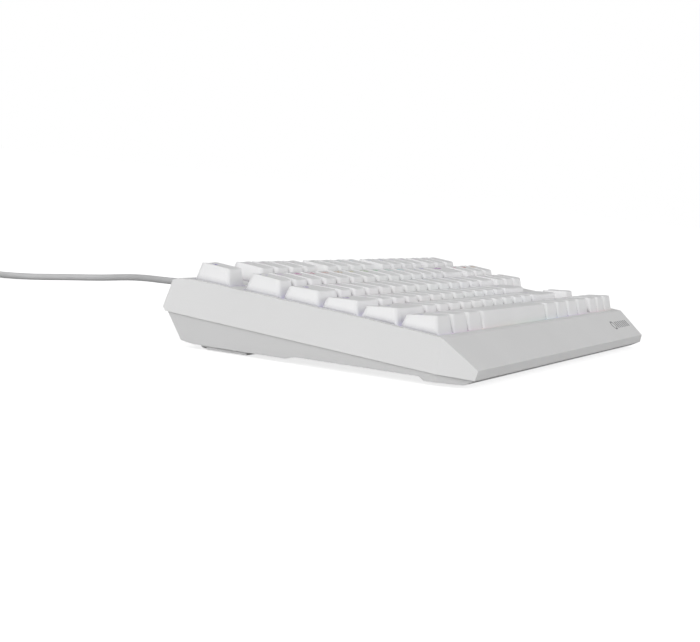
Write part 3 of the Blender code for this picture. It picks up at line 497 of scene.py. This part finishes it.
# ---- Keycaps -------------------------------------------------------------------------------
CAP_SIZE = 0.0181
CAP_TAPER_X = 0.0013
CAP_TOP_REAR, CAP_TOP_FRONT = 0.0076, -0.0066
CAP_WALL, CAP_CEILING = 0.0013, 0.0046
WALL_CORNER, CEILING_REAR, CEILING_FRONT = 0.0012, 0.0063, -0.0052
STEM_RADIUS, STEM_BOTTOM = 0.0021, -0.0044
BASE_CORNER, TOP_CORNER = 0.0021, 0.0022
EDGE_FILLET = 0.0006
DISH_DEPTH = 0.00045
CORNER_STEPS, SIDE_STEPS, END_STEPS = 5, 10, 4
LEGEND_RISE = 0.00003
LEGEND_Y = 0.0030

# A row is (deck Y of its middle, cap height at its rear edge, cap height at its front edge).
BOTTOM_ROW = (ROW_START, 0.0062, 0.0086)
ZXCV_ROW = (ROW_START + PITCH, 0.0060, 0.0080)
ASDF_ROW = (ROW_START + 2 * PITCH, 0.0059, 0.0074)
QWERTY_ROW = (ROW_START + 3 * PITCH, 0.0072, 0.0078)
NUMBER_ROW = (ROW_START + 4 * PITCH, 0.0091, 0.0087)
FUNCTION_ROW = (NUMBER_ROW[0] + 0.0254, 0.0090, 0.0087)
NAV_START = 15.25

# Each CAD node of keys: its row, first key unit, the keys' width in units, and their legends.
KEYS = {
    "key_escape": (FUNCTION_ROW, 0, 1, "Esc"),
    "key_space": (BOTTOM_ROW, 3.75, 6.25, ""),
    "key_enter": (ASDF_ROW, 12.75, 2.25, "Enter"),
    "key_backspace": (NUMBER_ROW, 13, 2, "Backspace"),
    "key_left_shift": (ZXCV_ROW, 0, 2.25, "Shift"),
    "key_tab": (QWERTY_ROW, 0, 1.5, "Tab"),
    "key_caps_lock": (ASDF_ROW, 0, 1.75, "Caps"),
    "key_left_control": (BOTTOM_ROW, 0, 1.25, "Ctrl"),
    "key_arrow_up": (ZXCV_ROW, 16.25, 1, "up"),
    "key_arrow_left": (BOTTOM_ROW, 15.25, 1, "left"),
    "key_arrow_down": (BOTTOM_ROW, 16.25, 1, "down"),
    "key_arrow_right": (BOTTOM_ROW, 17.25, 1, "right"),
    "key_left_system": (BOTTOM_ROW, 1.25, 1.25, "Sys"),
    "key_left_alt": (BOTTOM_ROW, 2.5, 1.25, "Alt"),
    "key_right_alt": (BOTTOM_ROW, 10, 1.25, "Alt"),
    "key_function": (BOTTOM_ROW, 11.25, 1.25, "Fn"),
    "key_menu": (BOTTOM_ROW, 12.5, 1.25, "Menu"),
    "key_right_control": (BOTTOM_ROW, 13.75, 1.25, "Ctrl"),
    "key_right_shift": (ZXCV_ROW, 12.25, 2.75, "Shift"),
    "key_backslash": (QWERTY_ROW, 13.5, 1.5, "\\_|"),
    "keys_f1_to_f4": (FUNCTION_ROW, 2, 1, "F1 F2 F3 F4"),
    "keys_f5_to_f8": (FUNCTION_ROW, 6.5, 1, "F5 F6 F7 F8"),
    "keys_f9_to_f12": (FUNCTION_ROW, 11, 1, "F9 F10 F11 F12"),
    "keys_print_to_pause": (FUNCTION_ROW, NAV_START, 1, "PrtSc ScrLk Pause"),
    "keys_insert_to_page_up": (NUMBER_ROW, NAV_START, 1, "Ins Home PgUp"),
    "keys_delete_to_page_down": (QWERTY_ROW, NAV_START, 1, "Del End PgDn"),
    "keys_grave_to_3": (NUMBER_ROW, 0, 1, "`_~ 1_! 2_@ 3_#"),
    "keys_4_to_6": (NUMBER_ROW, 4, 1, "4_$ 5_% 6_^"),
    "keys_7_to_9": (NUMBER_ROW, 7, 1, "7_& 8_* 9_("),
    "keys_0_to_equals": (NUMBER_ROW, 10, 1, "0_) -__ =_+"),
    "keys_q_to_e": (QWERTY_ROW, 1.5, 1, "Q W E"),
    "keys_r_to_y": (QWERTY_ROW, 4.5, 1, "R T Y"),
    "keys_u_to_o": (QWERTY_ROW, 7.5, 1, "U I O"),
    "keys_p_to_bracket": (QWERTY_ROW, 10.5, 1, "P [_{ ]_}"),
    "keys_a_to_f": (ASDF_ROW, 1.75, 1, "A S D F"),
    "keys_g_to_k": (ASDF_ROW, 5.75, 1, "G H J K"),
    "keys_l_to_quote": (ASDF_ROW, 9.75, 1, "L ;_: '_\""),
    "keys_z_to_v": (ZXCV_ROW, 2.25, 1, "Z X C V"),
    "keys_b_to_m": (ZXCV_ROW, 6.25, 1, "B N M"),
    "keys_comma_to_slash": (ZXCV_ROW, 9.25, 1, ",_< ._> /_?"),
}


def keys_of(node):
    """(x, half width, legend) of each cap of a node, x in the deck frame."""
    _, first, units, words = KEYS[node]
    for index, legend in enumerate(words.split(" ") if words else [""]):
        x = unit_x(first + (index + 0.5) * units)
        yield x, (units * PITCH - PITCH + CAP_SIZE) / 2, legend


def top_height(node, row, x, y, half_x):
    """Height of a cap's dished top over a point; x and y are from the cap's middle."""
    _, rear, front = row
    share = (y - CAP_TOP_FRONT) / (CAP_TOP_REAR - CAP_TOP_FRONT)
    plane = front + (rear - front) * share
    if node == "key_space":
        return plane - DISH_DEPTH * (2 * share - 1) ** 2
    across = min(1.0, abs(x) / (half_x - CAP_TAPER_X))
    return plane - DISH_DEPTH * (1 - across * across)


def rounded_outline(half_x, low_y, high_y, corner):
    """Points of a rounded rectangle, as many for every size, and the way inwards at each."""
    points = []
    corners = ((1, -1), (1, 1), (-1, 1), (-1, -1))
    for index, (side_x, side_y) in enumerate(corners):
        centre_x = side_x * (half_x - corner)
        centre_y = high_y - corner if side_y > 0 else low_y + corner
        start = (index - 1) * math.pi / 2
        for step in range(CORNER_STEPS + 1):
            angle = start + step / CORNER_STEPS * math.pi / 2
            way = Vector((math.cos(angle), math.sin(angle)))
            points.append(Vector((centre_x, centre_y)) + way * corner)
        follow_x, follow_y = corners[(index + 1) % 4]
        last = points[-1]
        if index % 2:
            first = Vector((follow_x * (half_x - corner), last.y))
            steps = SIDE_STEPS
        else:
            other_y = high_y - corner if follow_y > 0 else low_y + corner
            first = Vector((last.x, other_y))
            steps = END_STEPS
        points += [last.lerp(first, step / steps) for step in range(1, steps)]
    return points


def cap_loops(node, row, half_x):
    """The loops of points of one hollow cap, from the ceiling inside round to the dish's middle."""
    half_y = CAP_SIZE / 2
    top_x = half_x - CAP_TAPER_X
    base = rounded_outline(half_x, -half_y, half_y, BASE_CORNER)
    top = rounded_outline(top_x, CAP_TOP_FRONT, CAP_TOP_REAR, TOP_CORNER)
    wall = rounded_outline(half_x - CAP_WALL, CAP_WALL - half_y, half_y - CAP_WALL, WALL_CORNER)
    ceiling = rounded_outline(top_x - CAP_WALL, CEILING_FRONT, CEILING_REAR, WALL_CORNER)
    loops = [[(p.x * 0.4, p.y * 0.4, CAP_CEILING) for p in ceiling]]
    loops.append([(*p, CAP_CEILING) for p in ceiling])
    loops.append([(*p, 0.0) for p in wall])
    loops.append([(p.x * 0.996, p.y * 0.993, 0.0) for p in base])
    loops.append([(*p, 0.00015) for p in base])
    middle = Vector((0, (CAP_TOP_REAR + CAP_TOP_FRONT) / 2))
    rims = [Vector((*p, top_height(node, row, p.x, p.y, half_x))) for p in top]
    feet = [Vector((*p, 0.0)) for p in base]
    loops.append([tuple(foot.lerp(rim, 0.5)) for foot, rim in zip(feet, rims)])
    low_y, high_y = CAP_TOP_FRONT + EDGE_FILLET, CAP_TOP_REAR - EDGE_FILLET
    inner = rounded_outline(top_x - EDGE_FILLET, low_y, high_y, TOP_CORNER - EDGE_FILLET)
    inner = [Vector((*p, top_height(node, row, p.x, p.y, half_x))) for p in inner]
    for t in (0.0, 0.3, 0.6, 1.0):
        ring = []
        for foot, rim, dish in zip(feet, rims, inner):
            below = rim + (foot - rim).normalized() * EDGE_FILLET
            ring.append(tuple(below * (1 - t) ** 2 + rim * 2 * t * (1 - t) + dish * t * t))
        loops.append(ring)
    for share in (0.8, 0.55, 0.28):
        ring = []
        for point in inner:
            flat = middle + (point.xy - middle) * share
            ring.append((*flat, top_height(node, row, flat.x, flat.y, half_x)))
        loops.append(ring)
    return loops


def add_cap(bm, node, row, x, half_x):
    """One cap with its cross-socketed stem, joined into bm."""
    place = Matrix.Translation((x, row[0], 0))
    rings = [[bm.verts.new(DECK @ place @ Vector(p)) for p in loop] for loop in cap_loops(node, row, half_x)]
    for lower, upper in zip(rings, rings[1:]):
        bridge(bm, lower, upper)
    for ring in (rings[0], rings[-1]):
        centre = bm.verts.new(sum((vert.co for vert in ring), Vector()) / len(ring))
        for index in range(len(ring)):
            bm.faces.new((ring[index], ring[(index + 1) % len(ring)], centre))
    root = CAP_CEILING - 0.0001
    stem = [(0.0, root), (STEM_RADIUS, root), (STEM_RADIUS, STEM_BOTTOM + 0.0004)]
    stem += [(STEM_RADIUS - 0.0003, STEM_BOTTOM), (0.0010, STEM_BOTTOM), (0.0010, 0.0010), (0.0, 0.0010)]
    add_turned(bm, stem, 16, DECK @ place)


def make_keycaps():
    """Each key node's caps as one piece."""
    for node, (row, _, _, _) in KEYS.items():
        bm = bmesh.new()
        for x, half_x, _ in keys_of(node):
            add_cap(bm, node, row, x, half_x)
        caps = add_piece(node + "_caps", mesh_from(bm, node + "_caps", 50), node, KEYCAP)
        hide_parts(node)


# ---- Legends -------------------------------------------------------------------------------
LETTER_SIZE, PAIR_SIZE, WORD_SIZE = 0.0046, 0.0038, 0.0027
DARK_LEGENDS = ("key_escape", "key_tab", "key_caps_lock")
ARROW_TURNS = {"up": 0.0, "left": 90.0, "down": 180.0, "right": -90.0}
glyphs = {}


def glyph(text, size):
    """Vertices and faces of a thin extruded text, centred on x = 0 and standing on y = 0."""
    if (text, size) not in glyphs:
        curve = bpy.data.curves.new("glyph", "FONT")
        curve.body = text
        curve.size = size
        curve.align_x = "CENTER"
        curve.resolution_u = 3
        curve.extrude = 0.00003
        holder = bpy.data.objects.new("glyph", curve)
        bpy.context.scene.collection.objects.link(holder)
        bpy.context.view_layer.update()
        mesh = bpy.data.meshes.new_from_object(holder.evaluated_get(bpy.context.evaluated_depsgraph_get()))
        found = [vert.co.copy() for vert in mesh.vertices], [tuple(face.vertices) for face in mesh.polygons]
        glyphs[text, size] = found
        bpy.data.meshes.remove(mesh)
        bpy.data.objects.remove(holder)
        bpy.data.curves.remove(curve)
    return glyphs[text, size]


def arrow(turn):
    """Vertices and faces of a thin triangular arrow head, pointing to +Y before its turn."""
    half, thin = 0.0014, 0.00003
    outline = [Vector((-half, -half * 0.7, 0)), Vector((half, -half * 0.7, 0)), Vector((0, half, 0))]
    spin = Matrix.Rotation(math.radians(turn), 3, "Z")
    middle = Vector((0, 0.0008, 0))
    verts = [spin @ p + middle + Vector((0, 0, z)) for z in (-thin, thin) for p in outline]
    return verts, [(2, 1, 0), (3, 4, 5), (0, 1, 4, 3), (1, 2, 5, 4), (2, 0, 3, 5)]


def legend_parts(legend):
    """(x offset, vertices, faces) of each glyph of a legend."""
    if legend in ARROW_TURNS:
        return [(0.0, *arrow(ARROW_TURNS[legend]))]
    if len(legend) == 3 and legend[1] == "_":
        return [(-0.0021, *glyph(legend[0], PAIR_SIZE)), (0.0021, *glyph(legend[2], PAIR_SIZE))]
    size = LETTER_SIZE if len(legend) == 1 else WORD_SIZE
    if legend[0] == "F" and legend[1:].isdigit():
        size = WORD_SIZE * 1.15
    return [(0.0, *glyph(legend, size))]


def add_legend(bm, node, row, x, half_x, legend):
    """Lays the legend's glyphs on the dished top of a cap."""
    for shift, verts, faces in legend_parts(legend):
        placed = []
        for point in verts:
            over_x, over_y = point.x + shift, point.y + LEGEND_Y
            level = top_height(node, row, over_x, over_y, half_x) + LEGEND_RISE + point.z
            placed.append(bm.verts.new(DECK @ Vector((x + over_x, row[0] + over_y, level))))
        for face in faces:
            bm.faces.new([placed[index] for index in face])


def make_legends():
    """Each key node's legends as one piece, which moves with its caps."""
    for node, (row, _, _, words) in KEYS.items():
        if not words:
            continue
        bm = bmesh.new()
        for x, half_x, legend in keys_of(node):
            add_legend(bm, node, row, x, half_x, legend)
        material = LEGEND if row == NUMBER_ROW or node in DARK_LEGENDS else PALE_LEGEND
        add_piece(node + "_legends", mesh_from(bm, node + "_legends", 30), node, material)


make_keycaps()
make_legends()


# ---- Small parts ---------------------------------------------------------------------------
FOOT_CENTRE_X, FOOT_WIDTH, FOOT_RIBS = 0.1545, 0.036, 5
SCREW_SEAT_HEIGHT, THREAD_PITCH, THREAD_END = 0.0040, 0.0005, -0.0140
MARK_X, MARK_Y, MARK_THICKNESS = 0.1290, -0.0232, 0.00006
BAR_COUNT, BAR_START, BAR_PITCH, BAR_WIDTH, BAR_HEIGHT = 7, 0.0070, 0.0046, 0.0018, 0.0048
PADS = ("pad_front_left", "pad_front_right", "pad_rear_left", "pad_rear_right")
SCREWS = {
    "case_screw_front_left": (-0.150, -0.0195),
    "case_screw_front_right": (0.150, -0.0195),
    "case_screw_rear_left": (unit_x(6.25), FUNCTION_ROW[0]),
    "case_screw_rear_right": (unit_x(10.75), FUNCTION_ROW[0]),
}


def deck_level(deck_y, height):
    """The deck-frame Z of a point at this deck Y and this height above the table."""
    return (height - DECK.translation.z - deck_y * math.sin(TILT)) / math.cos(TILT)


def waist_ring(depth):
    """The case's widest outline drawn in by depth, all round, as (x, y) in the deck frame."""
    side = WAIST_HALF_WIDTH - depth
    half = [(side, REAR_WALL - REAR_CHAMFER - depth), (side, CORNER_START + depth * 0.6)]
    half.append((LIP_HALF_WIDTH - depth * 0.8, FRONT_LIP + 0.0004 + depth))
    return [(-x, y) for x, y in half] + half[::-1]


def make_seam_tongue():
    """The bottom case's upstand, which closes the seam from inside."""
    outside, inside = SEAM_STEP + 0.0001, SEAM_STEP + 0.0012
    low, high = SEAM_LEVEL - GAP - 0.0003, SEAM_LEVEL - 0.00004
    bm = bmesh.new()
    rings = []
    for depth, level in ((outside, low), (outside, high), (inside, high), (inside, low)):
        rings.append([bm.verts.new(DECK @ Vector((x, y, level))) for x, y in waist_ring(depth)])
    close_round(bm, rings)
    add_piece("seam_tongue", mesh_from(bm, "seam_tongue"), "case", CASE)


def slope_place(x, y):
    """Where something lies on the front slope: its own XY plane is the slope's face."""
    rise = (RIM_FRONT_LEVEL - BAND_LEVEL) / (RIM_FRONT - FRONT_LIP)
    level = RIM_FRONT_LEVEL - (RIM_FRONT - y) * rise
    turn = Matrix.Rotation(math.atan(rise), 4, "X")
    return DECK @ Matrix.Translation((x, y, level)) @ turn


def add_prism(bm, outline, low, high, place):
    """A flat outline of (x, y) points with thickness, joined into bm."""
    rings = [[bm.verts.new(place @ Vector((x, y, z))) for x, y in outline] for z in (low, high)]
    bridge(bm, *rings)
    bm.faces.new(rings[0])
    bm.faces.new(rings[1])


def make_front_mark():
    """A plain long hexagon and a row of bars printed on the front slope's right end."""
    place = slope_place(MARK_X, MARK_Y)
    bm = bmesh.new()
    angles = [math.pi / 3 * step for step in range(6)]
    rings = []
    for radius, level in ((0.0035, 0.0), (0.0035, MARK_THICKNESS), (0.0024, MARK_THICKNESS), (0.0024, 0.0)):
        points = [Vector((1.3 * radius * math.cos(a), radius * math.sin(a), level)) for a in angles]
        rings.append([bm.verts.new(place @ point) for point in points])
    close_round(bm, rings)
    half = BAR_HEIGHT / 2
    for start in (BAR_START + BAR_PITCH * index for index in range(BAR_COUNT)):
        end = start + BAR_WIDTH
        outline = [(start, -half), (end, -half), (end, half), (start, half)]
        add_prism(bm, outline, 0.0, MARK_THICKNESS, place)
    add_piece("front_mark", mesh_from(bm, "front_mark"), "case", INK)


def cross_outline():
    """A cross-shaped recess as 24 (x, y) points, placed so that a circle can have a point beside each."""
    arm, half = 0.0015, 0.00042
    quarter = [(arm, -half), (arm, 0.0), (arm, half), ((arm + half) / 2, half), (half, half)]
    quarter.append((half, (arm + half) / 2))
    points = []
    for turn in range(4):
        cosine, sine = round(math.cos(turn * math.pi / 2)), round(math.sin(turn * math.pi / 2))
        points += [(x * cosine - y * sine, x * sine + y * cosine) for x, y in quarter]
    return points


def head_rings(bm, place):
    """A pan head's loops of vertices, from its seat over its rim and down into the cross recess."""
    cross = [Vector((x, y, 0)) for x, y in cross_outline()]
    circle = [way.normalized() for way in cross]
    steps = [(circle, 0.0026, -0.0001), (circle, 0.0026, -0.0009), (circle, 0.0021, -0.0014)]
    steps += [(cross, 1.0, -0.0015), (cross, 0.8, -0.0006)]
    rings = []
    for ways, size, level in steps:
        rings.append([bm.verts.new(place @ (way * size + Vector((0, 0, level)))) for way in ways])
    return rings


def thread_profile(end):
    """The screw's thread as turned ridges, down to an end level."""
    level = -0.0002
    profile = [(0.0, level)]
    while level < end:
        profile += [(0.00085, level + 0.0001), (0.0011, level + 0.0003), (0.00085, level + THREAD_PITCH)]
        level += THREAD_PITCH
    profile.append((0.0, level + 0.0002))
    return profile


def make_screw(node, x, y):
    """A pan-head case screw, its cross recess facing the table."""
    seat = deck_level(y, SCREW_SEAT_HEIGHT) - GAP
    place = DECK @ Matrix.Translation((x, y, seat))
    bm = bmesh.new()
    skin(bm, head_rings(bm, place))
    add_turned(bm, thread_profile(THREAD_END - seat), 10, place)
    screw = add_piece(node + "_head", mesh_from(bm, node + "_head"), "case", BLACKENED)
    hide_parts(node)


def make_boot():
    """The lead's tapered strain relief with its ribs, and the flange that holds it in the wall."""
    out = BOOT_HIGH.y - BOOT_LENGTH
    place = Matrix.Translation((0, out, EXIT.z)) @ Matrix.Rotation(math.radians(-90), 4, "X")
    inner = BOOT_LOW.y - out
    profile = [(0.0, BOOT_LENGTH - 0.0003), (CORD_RADIUS, BOOT_LENGTH - 0.0003), (0.0021, BOOT_LENGTH)]
    rib = BOOT_LENGTH
    while rib > 0.0060:
        radius = 0.0023 + 0.0013 * (BOOT_LENGTH - rib) / 0.012
        profile += [(radius, rib - 0.0002), (radius, rib - 0.0011)]
        profile += [(radius - 0.0004, rib - 0.0013), (radius - 0.0004, rib - 0.0018)]
        rib -= 0.0020
    profile += [(0.0036, 0.0040), (0.0049, 0.0036), (0.0052, 0.0033), (0.0052, 0.0021), (0.0038, 0.0020)]
    profile += [(0.0038, inner + 0.0013), (0.0050, inner + 0.0013), (0.0050, inner), (0.0, inner)]
    bm = bmesh.new()
    add_turned(bm, profile, 28, place)
    boot = add_piece("lead_boot", mesh_from(bm, "lead_boot"), "case", SHEATH)
    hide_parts("strain_relief")
    return boot


def rounded_section(half_y, half_z, corner, steps=4):
    """A rounded rectangle of (y, z) points."""
    points = []
    for index, (side_y, side_z) in enumerate(((1, 1), (-1, 1), (-1, -1), (1, -1))):
        for step in range(steps + 1):
            angle = (index + step / steps) * math.pi / 2
            y = side_y * (half_y - corner) + corner * math.cos(angle)
            points.append((y, side_z * (half_z - corner) + corner * math.sin(angle)))
    return points


def loft(bm, sections, middle):
    """Skins (x, half y, half z, corner) sections along X about a middle (y, z), with both ends closed."""
    rings = []
    for x, half_y, half_z, corner in sections:
        outline = rounded_section(half_y, half_z, corner)
        rings.append([bm.verts.new((x, middle[0] + y, middle[1] + z)) for y, z in outline])
    skin(bm, rings)


def grip_sections(start, end, half_y):
    """The plug grip's sections along X: a blunt front, finger grooves and rounded shoulders."""
    half_z, corner, groove = PLUG_HALF_HEIGHT, PLUG_CORNER, 0.0005
    sections = [(start, half_y - 0.0008, half_z - 0.0006, 0.0010), (start + 0.0006, half_y, half_z, corner)]
    x = start + 0.006
    while x < end - 0.007:
        sections += [(x, half_y, half_z, corner), (x + 0.0003, half_y - groove, half_z, corner)]
        sections += [(x + 0.0010, half_y - groove, half_z, corner), (x + 0.0013, half_y, half_z, corner)]
        x += 0.0024
    sections.append((end - 0.004, half_y, half_z, corner))
    sections.append((end - 0.001, half_y - 0.0016, half_z - 0.0002, 0.0016))
    sections.append((end, half_y - 0.0034, half_z - 0.0008, 0.0016))
    return sections


def plug_boot_sections(start, end):
    """The ribbed boot behind the grip: near-round sections along X that taper to the lead."""
    x = start + 0.0002
    sections = [(x, 0.0033, 0.0033, 0.0032)]
    while x < end - 0.0022:
        radius = 0.0033 - 0.0010 * (x - start) / PLUG_BOOT_LENGTH
        sections += [(x + step, radius, radius, radius * 0.99) for step in (0.0002, 0.0010)]
        inner = radius - 0.0004
        sections += [(x + step, inner, inner, inner * 0.99) for step in (0.0012, 0.0017)]
        x += 0.0019
    sections.append((end, 0.0021, 0.0021, 0.0020))
    return sections


def make_plug():
    """The USB plug: a waisted grip with finger ribs, a folded shell, its tongue and contacts."""
    low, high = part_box("usb_plug_grip")
    shell_low, shell_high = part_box("usb_plug_shell")
    middle = ((low.y + high.y) / 2, PLUG_AXIS_HEIGHT)
    grip_end = high.x - PLUG_BOOT_LENGTH
    bm = bmesh.new()
    sections = grip_sections(low.x, grip_end, (high.y - low.y) / 2) + plug_boot_sections(grip_end, high.x)
    loft(bm, sections, middle)
    grip = add_piece("plug_grip", mesh_from(bm, "plug_grip"), "case", GRIP)
    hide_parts("usb_plug_grip")
    shell = make_plug_shell(shell_low, shell_high, middle)
    inside = make_plug_inside(shell_low, shell_high, middle)
    return [grip, shell] + inside


def make_plug_shell(low, high, middle):
    """A folded sheet shell, open at its mouth."""
    half_y, half_z, wall = (high.y - low.y) / 2, (high.z - low.z) / 2, 0.0004
    bm = bmesh.new()
    rings = []
    skins = ((high.x, 0.0), (low.x + 0.0001, 0.0), (low.x, 0.0001), (low.x, wall), (high.x - 0.001, wall))
    for x, depth in skins:
        outline = rounded_section(half_y - depth, half_z - depth, max(0.0006 - depth, 0.0002), 3)
        rings.append([bm.verts.new((x, middle[0] + y, middle[1] + z)) for y, z in outline])
    skin(bm, rings)
    shell = add_piece("plug_shell", mesh_from(bm, "plug_shell"), "case", PLATED)
    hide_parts("usb_plug_shell")
    return shell


def add_block(bm, low, high, corner=0.0001):
    """A box between two corners with softened edges, joined into bm."""
    middle = (Vector(low) + Vector(high)) / 2
    size = Vector(high) - Vector(low)
    place = Matrix.Translation(middle) @ Matrix.Diagonal((*size, 1.0))
    verts = bmesh.ops.create_cube(bm, size=1.0, matrix=place)["verts"]
    edges = list({edge for vert in verts for edge in vert.link_edges})
    bmesh.ops.bevel(bm, geom=edges, offset=corner, segments=2, affect="EDGES")


def make_plug_inside(low, high, middle):
    """The moulded tongue and its four contacts, and painted shade: two dark blocks on the shell's latch
    holes, for the shade inside them.
    """
    y, z = middle
    bm = bmesh.new()
    add_block(bm, (low.x + 0.0006, y - 0.0054, z - 0.0018), (high.x - 0.0012, y + 0.0054, z - 0.0001))
    tongue = add_piece("plug_tongue", mesh_from(bm, "plug_tongue"), "case", KEYCAP)
    bm = bmesh.new()
    for offset in (-0.0035, -0.0010, 0.0010, 0.0035):
        corner = (low.x + 0.0012, y + offset - 0.0005, z - 0.0002)
        add_block(bm, corner, (low.x + 0.0085, y + offset + 0.0005, z), 0.00005)
    contacts = add_piece("plug_contacts", mesh_from(bm, "plug_contacts"), "case", GILT)
    # Painted shade: dark blocks stand for the shade seen through the shell's latch holes.
    bm = bmesh.new()
    top = (high.z - low.z) / 2
    for offset in (-0.0029, 0.0029):
        corner = (low.x + 0.0048, y + offset - 0.0011, z + top - 0.0003)
        add_block(bm, corner, (low.x + 0.0072, y + offset + 0.0011, z + top + 0.00003), 0.00002)
    latch_hole_shade = add_piece("plug_latch_hole_shade", mesh_from(bm, "plug_latch_hole_shade"), "case", RUBBER)
    return [tongue, contacts, latch_hole_shade]


def make_foot_grips():
    """Each folded foot's outer finger tab, and the ribs across its tip that face the table."""
    for node, side in (("foot_left", -1), ("foot_right", 1)):
        low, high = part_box(node)
        bm = bmesh.new()
        edge = side * (FOOT_CENTRE_X + FOOT_WIDTH / 2)
        reach = sorted((edge - side * 0.0008, edge + side * 0.0038))
        add_block(bm, (reach[0], low.y, low.z), (reach[1], high.y - 0.0054, low.z + 0.0013), 0.0003)
        for step in range(FOOT_RIBS):
            y = low.y + 0.0016 + 0.0014 * step
            add_block(bm, (low.x + 0.007, y, low.z + 0.0001), (high.x - 0.007, y + 0.0007, low.z + 0.0012))
        add_piece(node + "_ribs", mesh_from(bm, node + "_ribs"), node, CASE)


def make_pad_ribs():
    """Three shallow ribs moulded across each rubber pad, which the keyboard stands on."""
    for node in PADS:
        low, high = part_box(node)
        bm = bmesh.new()
        for share in (0.3, 0.5, 0.7):
            y = low.y + (high.y - low.y) * share
            corner = (low.x + 0.004, y - 0.0005, low.z + 0.00001)
            add_block(bm, corner, (high.x - 0.004, y + 0.0005, low.z + 0.0008))
        add_piece(node + "_ribs", mesh_from(bm, node + "_ribs"), "case", RUBBER)


make_seam_tongue()
make_front_mark()
for name, (x, y) in SCREWS.items():
    make_screw(name, x, y)
boot = make_boot()
plug_pieces = make_plug()
make_foot_grips()
make_pad_ribs()


# ---- CAD nodes that stay -------------------------------------------------------------------
def dress(node, material, bevel=0.0, segments=2):
    """Gives a CAD node its material and, with modifiers only, its rounded edges."""
    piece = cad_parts[node]
    piece.data.materials.clear()
    piece.data.materials.append(material)
    if not bevel:
        return
    weld = piece.modifiers.new("Weld", "WELD")
    weld.merge_threshold = 0.00001
    flat = piece.modifiers.new("Flat", "DECIMATE")
    flat.decimate_type = "DISSOLVE"
    flat.angle_limit = math.radians(0.6)
    edge = piece.modifiers.new("Edge", "BEVEL")
    edge.width = bevel
    edge.segments = segments
    edge.limit_method = "ANGLE"
    edge.angle_limit = math.radians(14)
    edge.use_clamp_overlap = True
    edge.harden_normals = True
    normals = piece.modifiers.new("Normals", "WEIGHTED_NORMAL")
    normals.keep_sharp = False
    normals.weight = 100


dress("top_case", CASE, 0.0005)
dress("bottom_case", CASE, 0.0005)
dress("switch_plate", PLATE)
dress("circuit_board", BOARD)
dress("foot_left", CASE, 0.0004)
dress("foot_right", CASE, 0.0004)
for name in PADS:
    dress(name, RUBBER, 0.0003)


# ---- Light, floor and picture --------------------------------------------------------------
SKY_BASE = 1.155
SKY_SLOPES = {"X": -0.40, "Y": -0.46, "Z": -0.85}
AIM = (0, 0, 0.02)
FLOOR_GREY, FLOOR_GLOW = 0.50, 0.80

# A panel is (place, width, power in watts).
PANELS = {
    "left_panel": ((-1.5, 0.2, 0.45), 1.2, 5.8),
    "high_rear_panel": ((0.1, 0.9, 1.5), 1.2, 4.6),
    "front_panel": ((-0.1, -1.5, 0.1), 1.0, 1.5),
}


def make_world():
    """White behind the object; the soft light that it gives is strongest from the left."""
    world = bpy.data.worlds.new("studio")
    bpy.context.scene.world = world
    world.use_nodes = True
    tree = world.node_tree
    tree.nodes.clear()
    out = tree.nodes.new("ShaderNodeOutputWorld")
    mix = tree.nodes.new("ShaderNodeMixShader")
    path = tree.nodes.new("ShaderNodeLightPath")
    seen = tree.nodes.new("ShaderNodeBackground")
    lit = tree.nodes.new("ShaderNodeBackground")
    seen.inputs["Color"].default_value = (1.0, 1.0, 1.0, 1)
    direction = tree.nodes.new("ShaderNodeTexCoord")
    split = tree.nodes.new("ShaderNodeSeparateXYZ")
    tree.links.new(direction.outputs["Generated"], split.inputs["Vector"])
    strength = None
    for axis, slope in SKY_SLOPES.items():
        term = tree.nodes.new("ShaderNodeMath")
        term.operation = "MULTIPLY_ADD"
        term.inputs[1].default_value = slope
        term.inputs[2].default_value = SKY_BASE
        tree.links.new(split.outputs[axis], term.inputs[0])
        if strength:
            tree.links.new(strength, term.inputs[2])
        strength = term.outputs["Value"]
    tree.links.new(strength, lit.inputs["Strength"])
    tree.links.new(path.outputs["Is Camera Ray"], mix.inputs["Fac"])
    tree.links.new(lit.outputs["Background"], mix.inputs[1])
    tree.links.new(seen.outputs["Background"], mix.inputs[2])
    tree.links.new(mix.outputs["Shader"], out.inputs["Surface"])


def add_panel(name, place, size, power):
    """A square area light aimed at the keyboard."""
    data = bpy.data.lights.new(name, "AREA")
    data.size = size
    data.energy = power
    light = bpy.data.objects.new(name, data)
    bpy.context.scene.collection.objects.link(light)
    light.location = place
    direction = Vector(AIM) - Vector(place)
    light.rotation_euler = direction.to_track_quat("-Z", "Y").to_euler()


def make_floor():
    """A white table top. It gives the object less light than it shows, as a table under a tent does."""
    bm = bmesh.new()
    bmesh.ops.create_grid(bm, x_segments=2, y_segments=2, size=6.0)
    floor = bpy.data.objects.new("floor", mesh_from(bm, "floor"))
    bpy.context.scene.collection.objects.link(floor)
    floor.location.z = -0.0002
    shader = Shader("floor", (FLOOR_GREY, FLOOR_GREY, FLOOR_GREY), 0.8)
    shader.set("Specular IOR Level", 0.0)
    shader.tint(shader.noise(3.0), 0.995, 1.005)
    glow = shader.node("ShaderNodeEmission", Strength=FLOOR_GLOW)
    both = shader.node("ShaderNodeAddShader")
    path = shader.node("ShaderNodeLightPath")
    pick = shader.node("ShaderNodeMixShader")
    shader.link(shader.principled.outputs["BSDF"], both.inputs[0])
    shader.link(glow.outputs["Emission"], both.inputs[1])
    shader.link(path.outputs["Is Camera Ray"], pick.inputs["Fac"])
    shader.link(shader.principled.outputs["BSDF"], pick.inputs[1])
    shader.link(both.outputs["Shader"], pick.inputs[2])
    shader.link(pick.outputs["Shader"], shader.tree.nodes["Material Output"].inputs["Surface"])
    floor.data.materials.append(shader.material)


make_world()
for name, panel in PANELS.items():
    add_panel(name, *panel)
make_floor()
bpy.context.scene.view_settings.view_transform = "Standard"
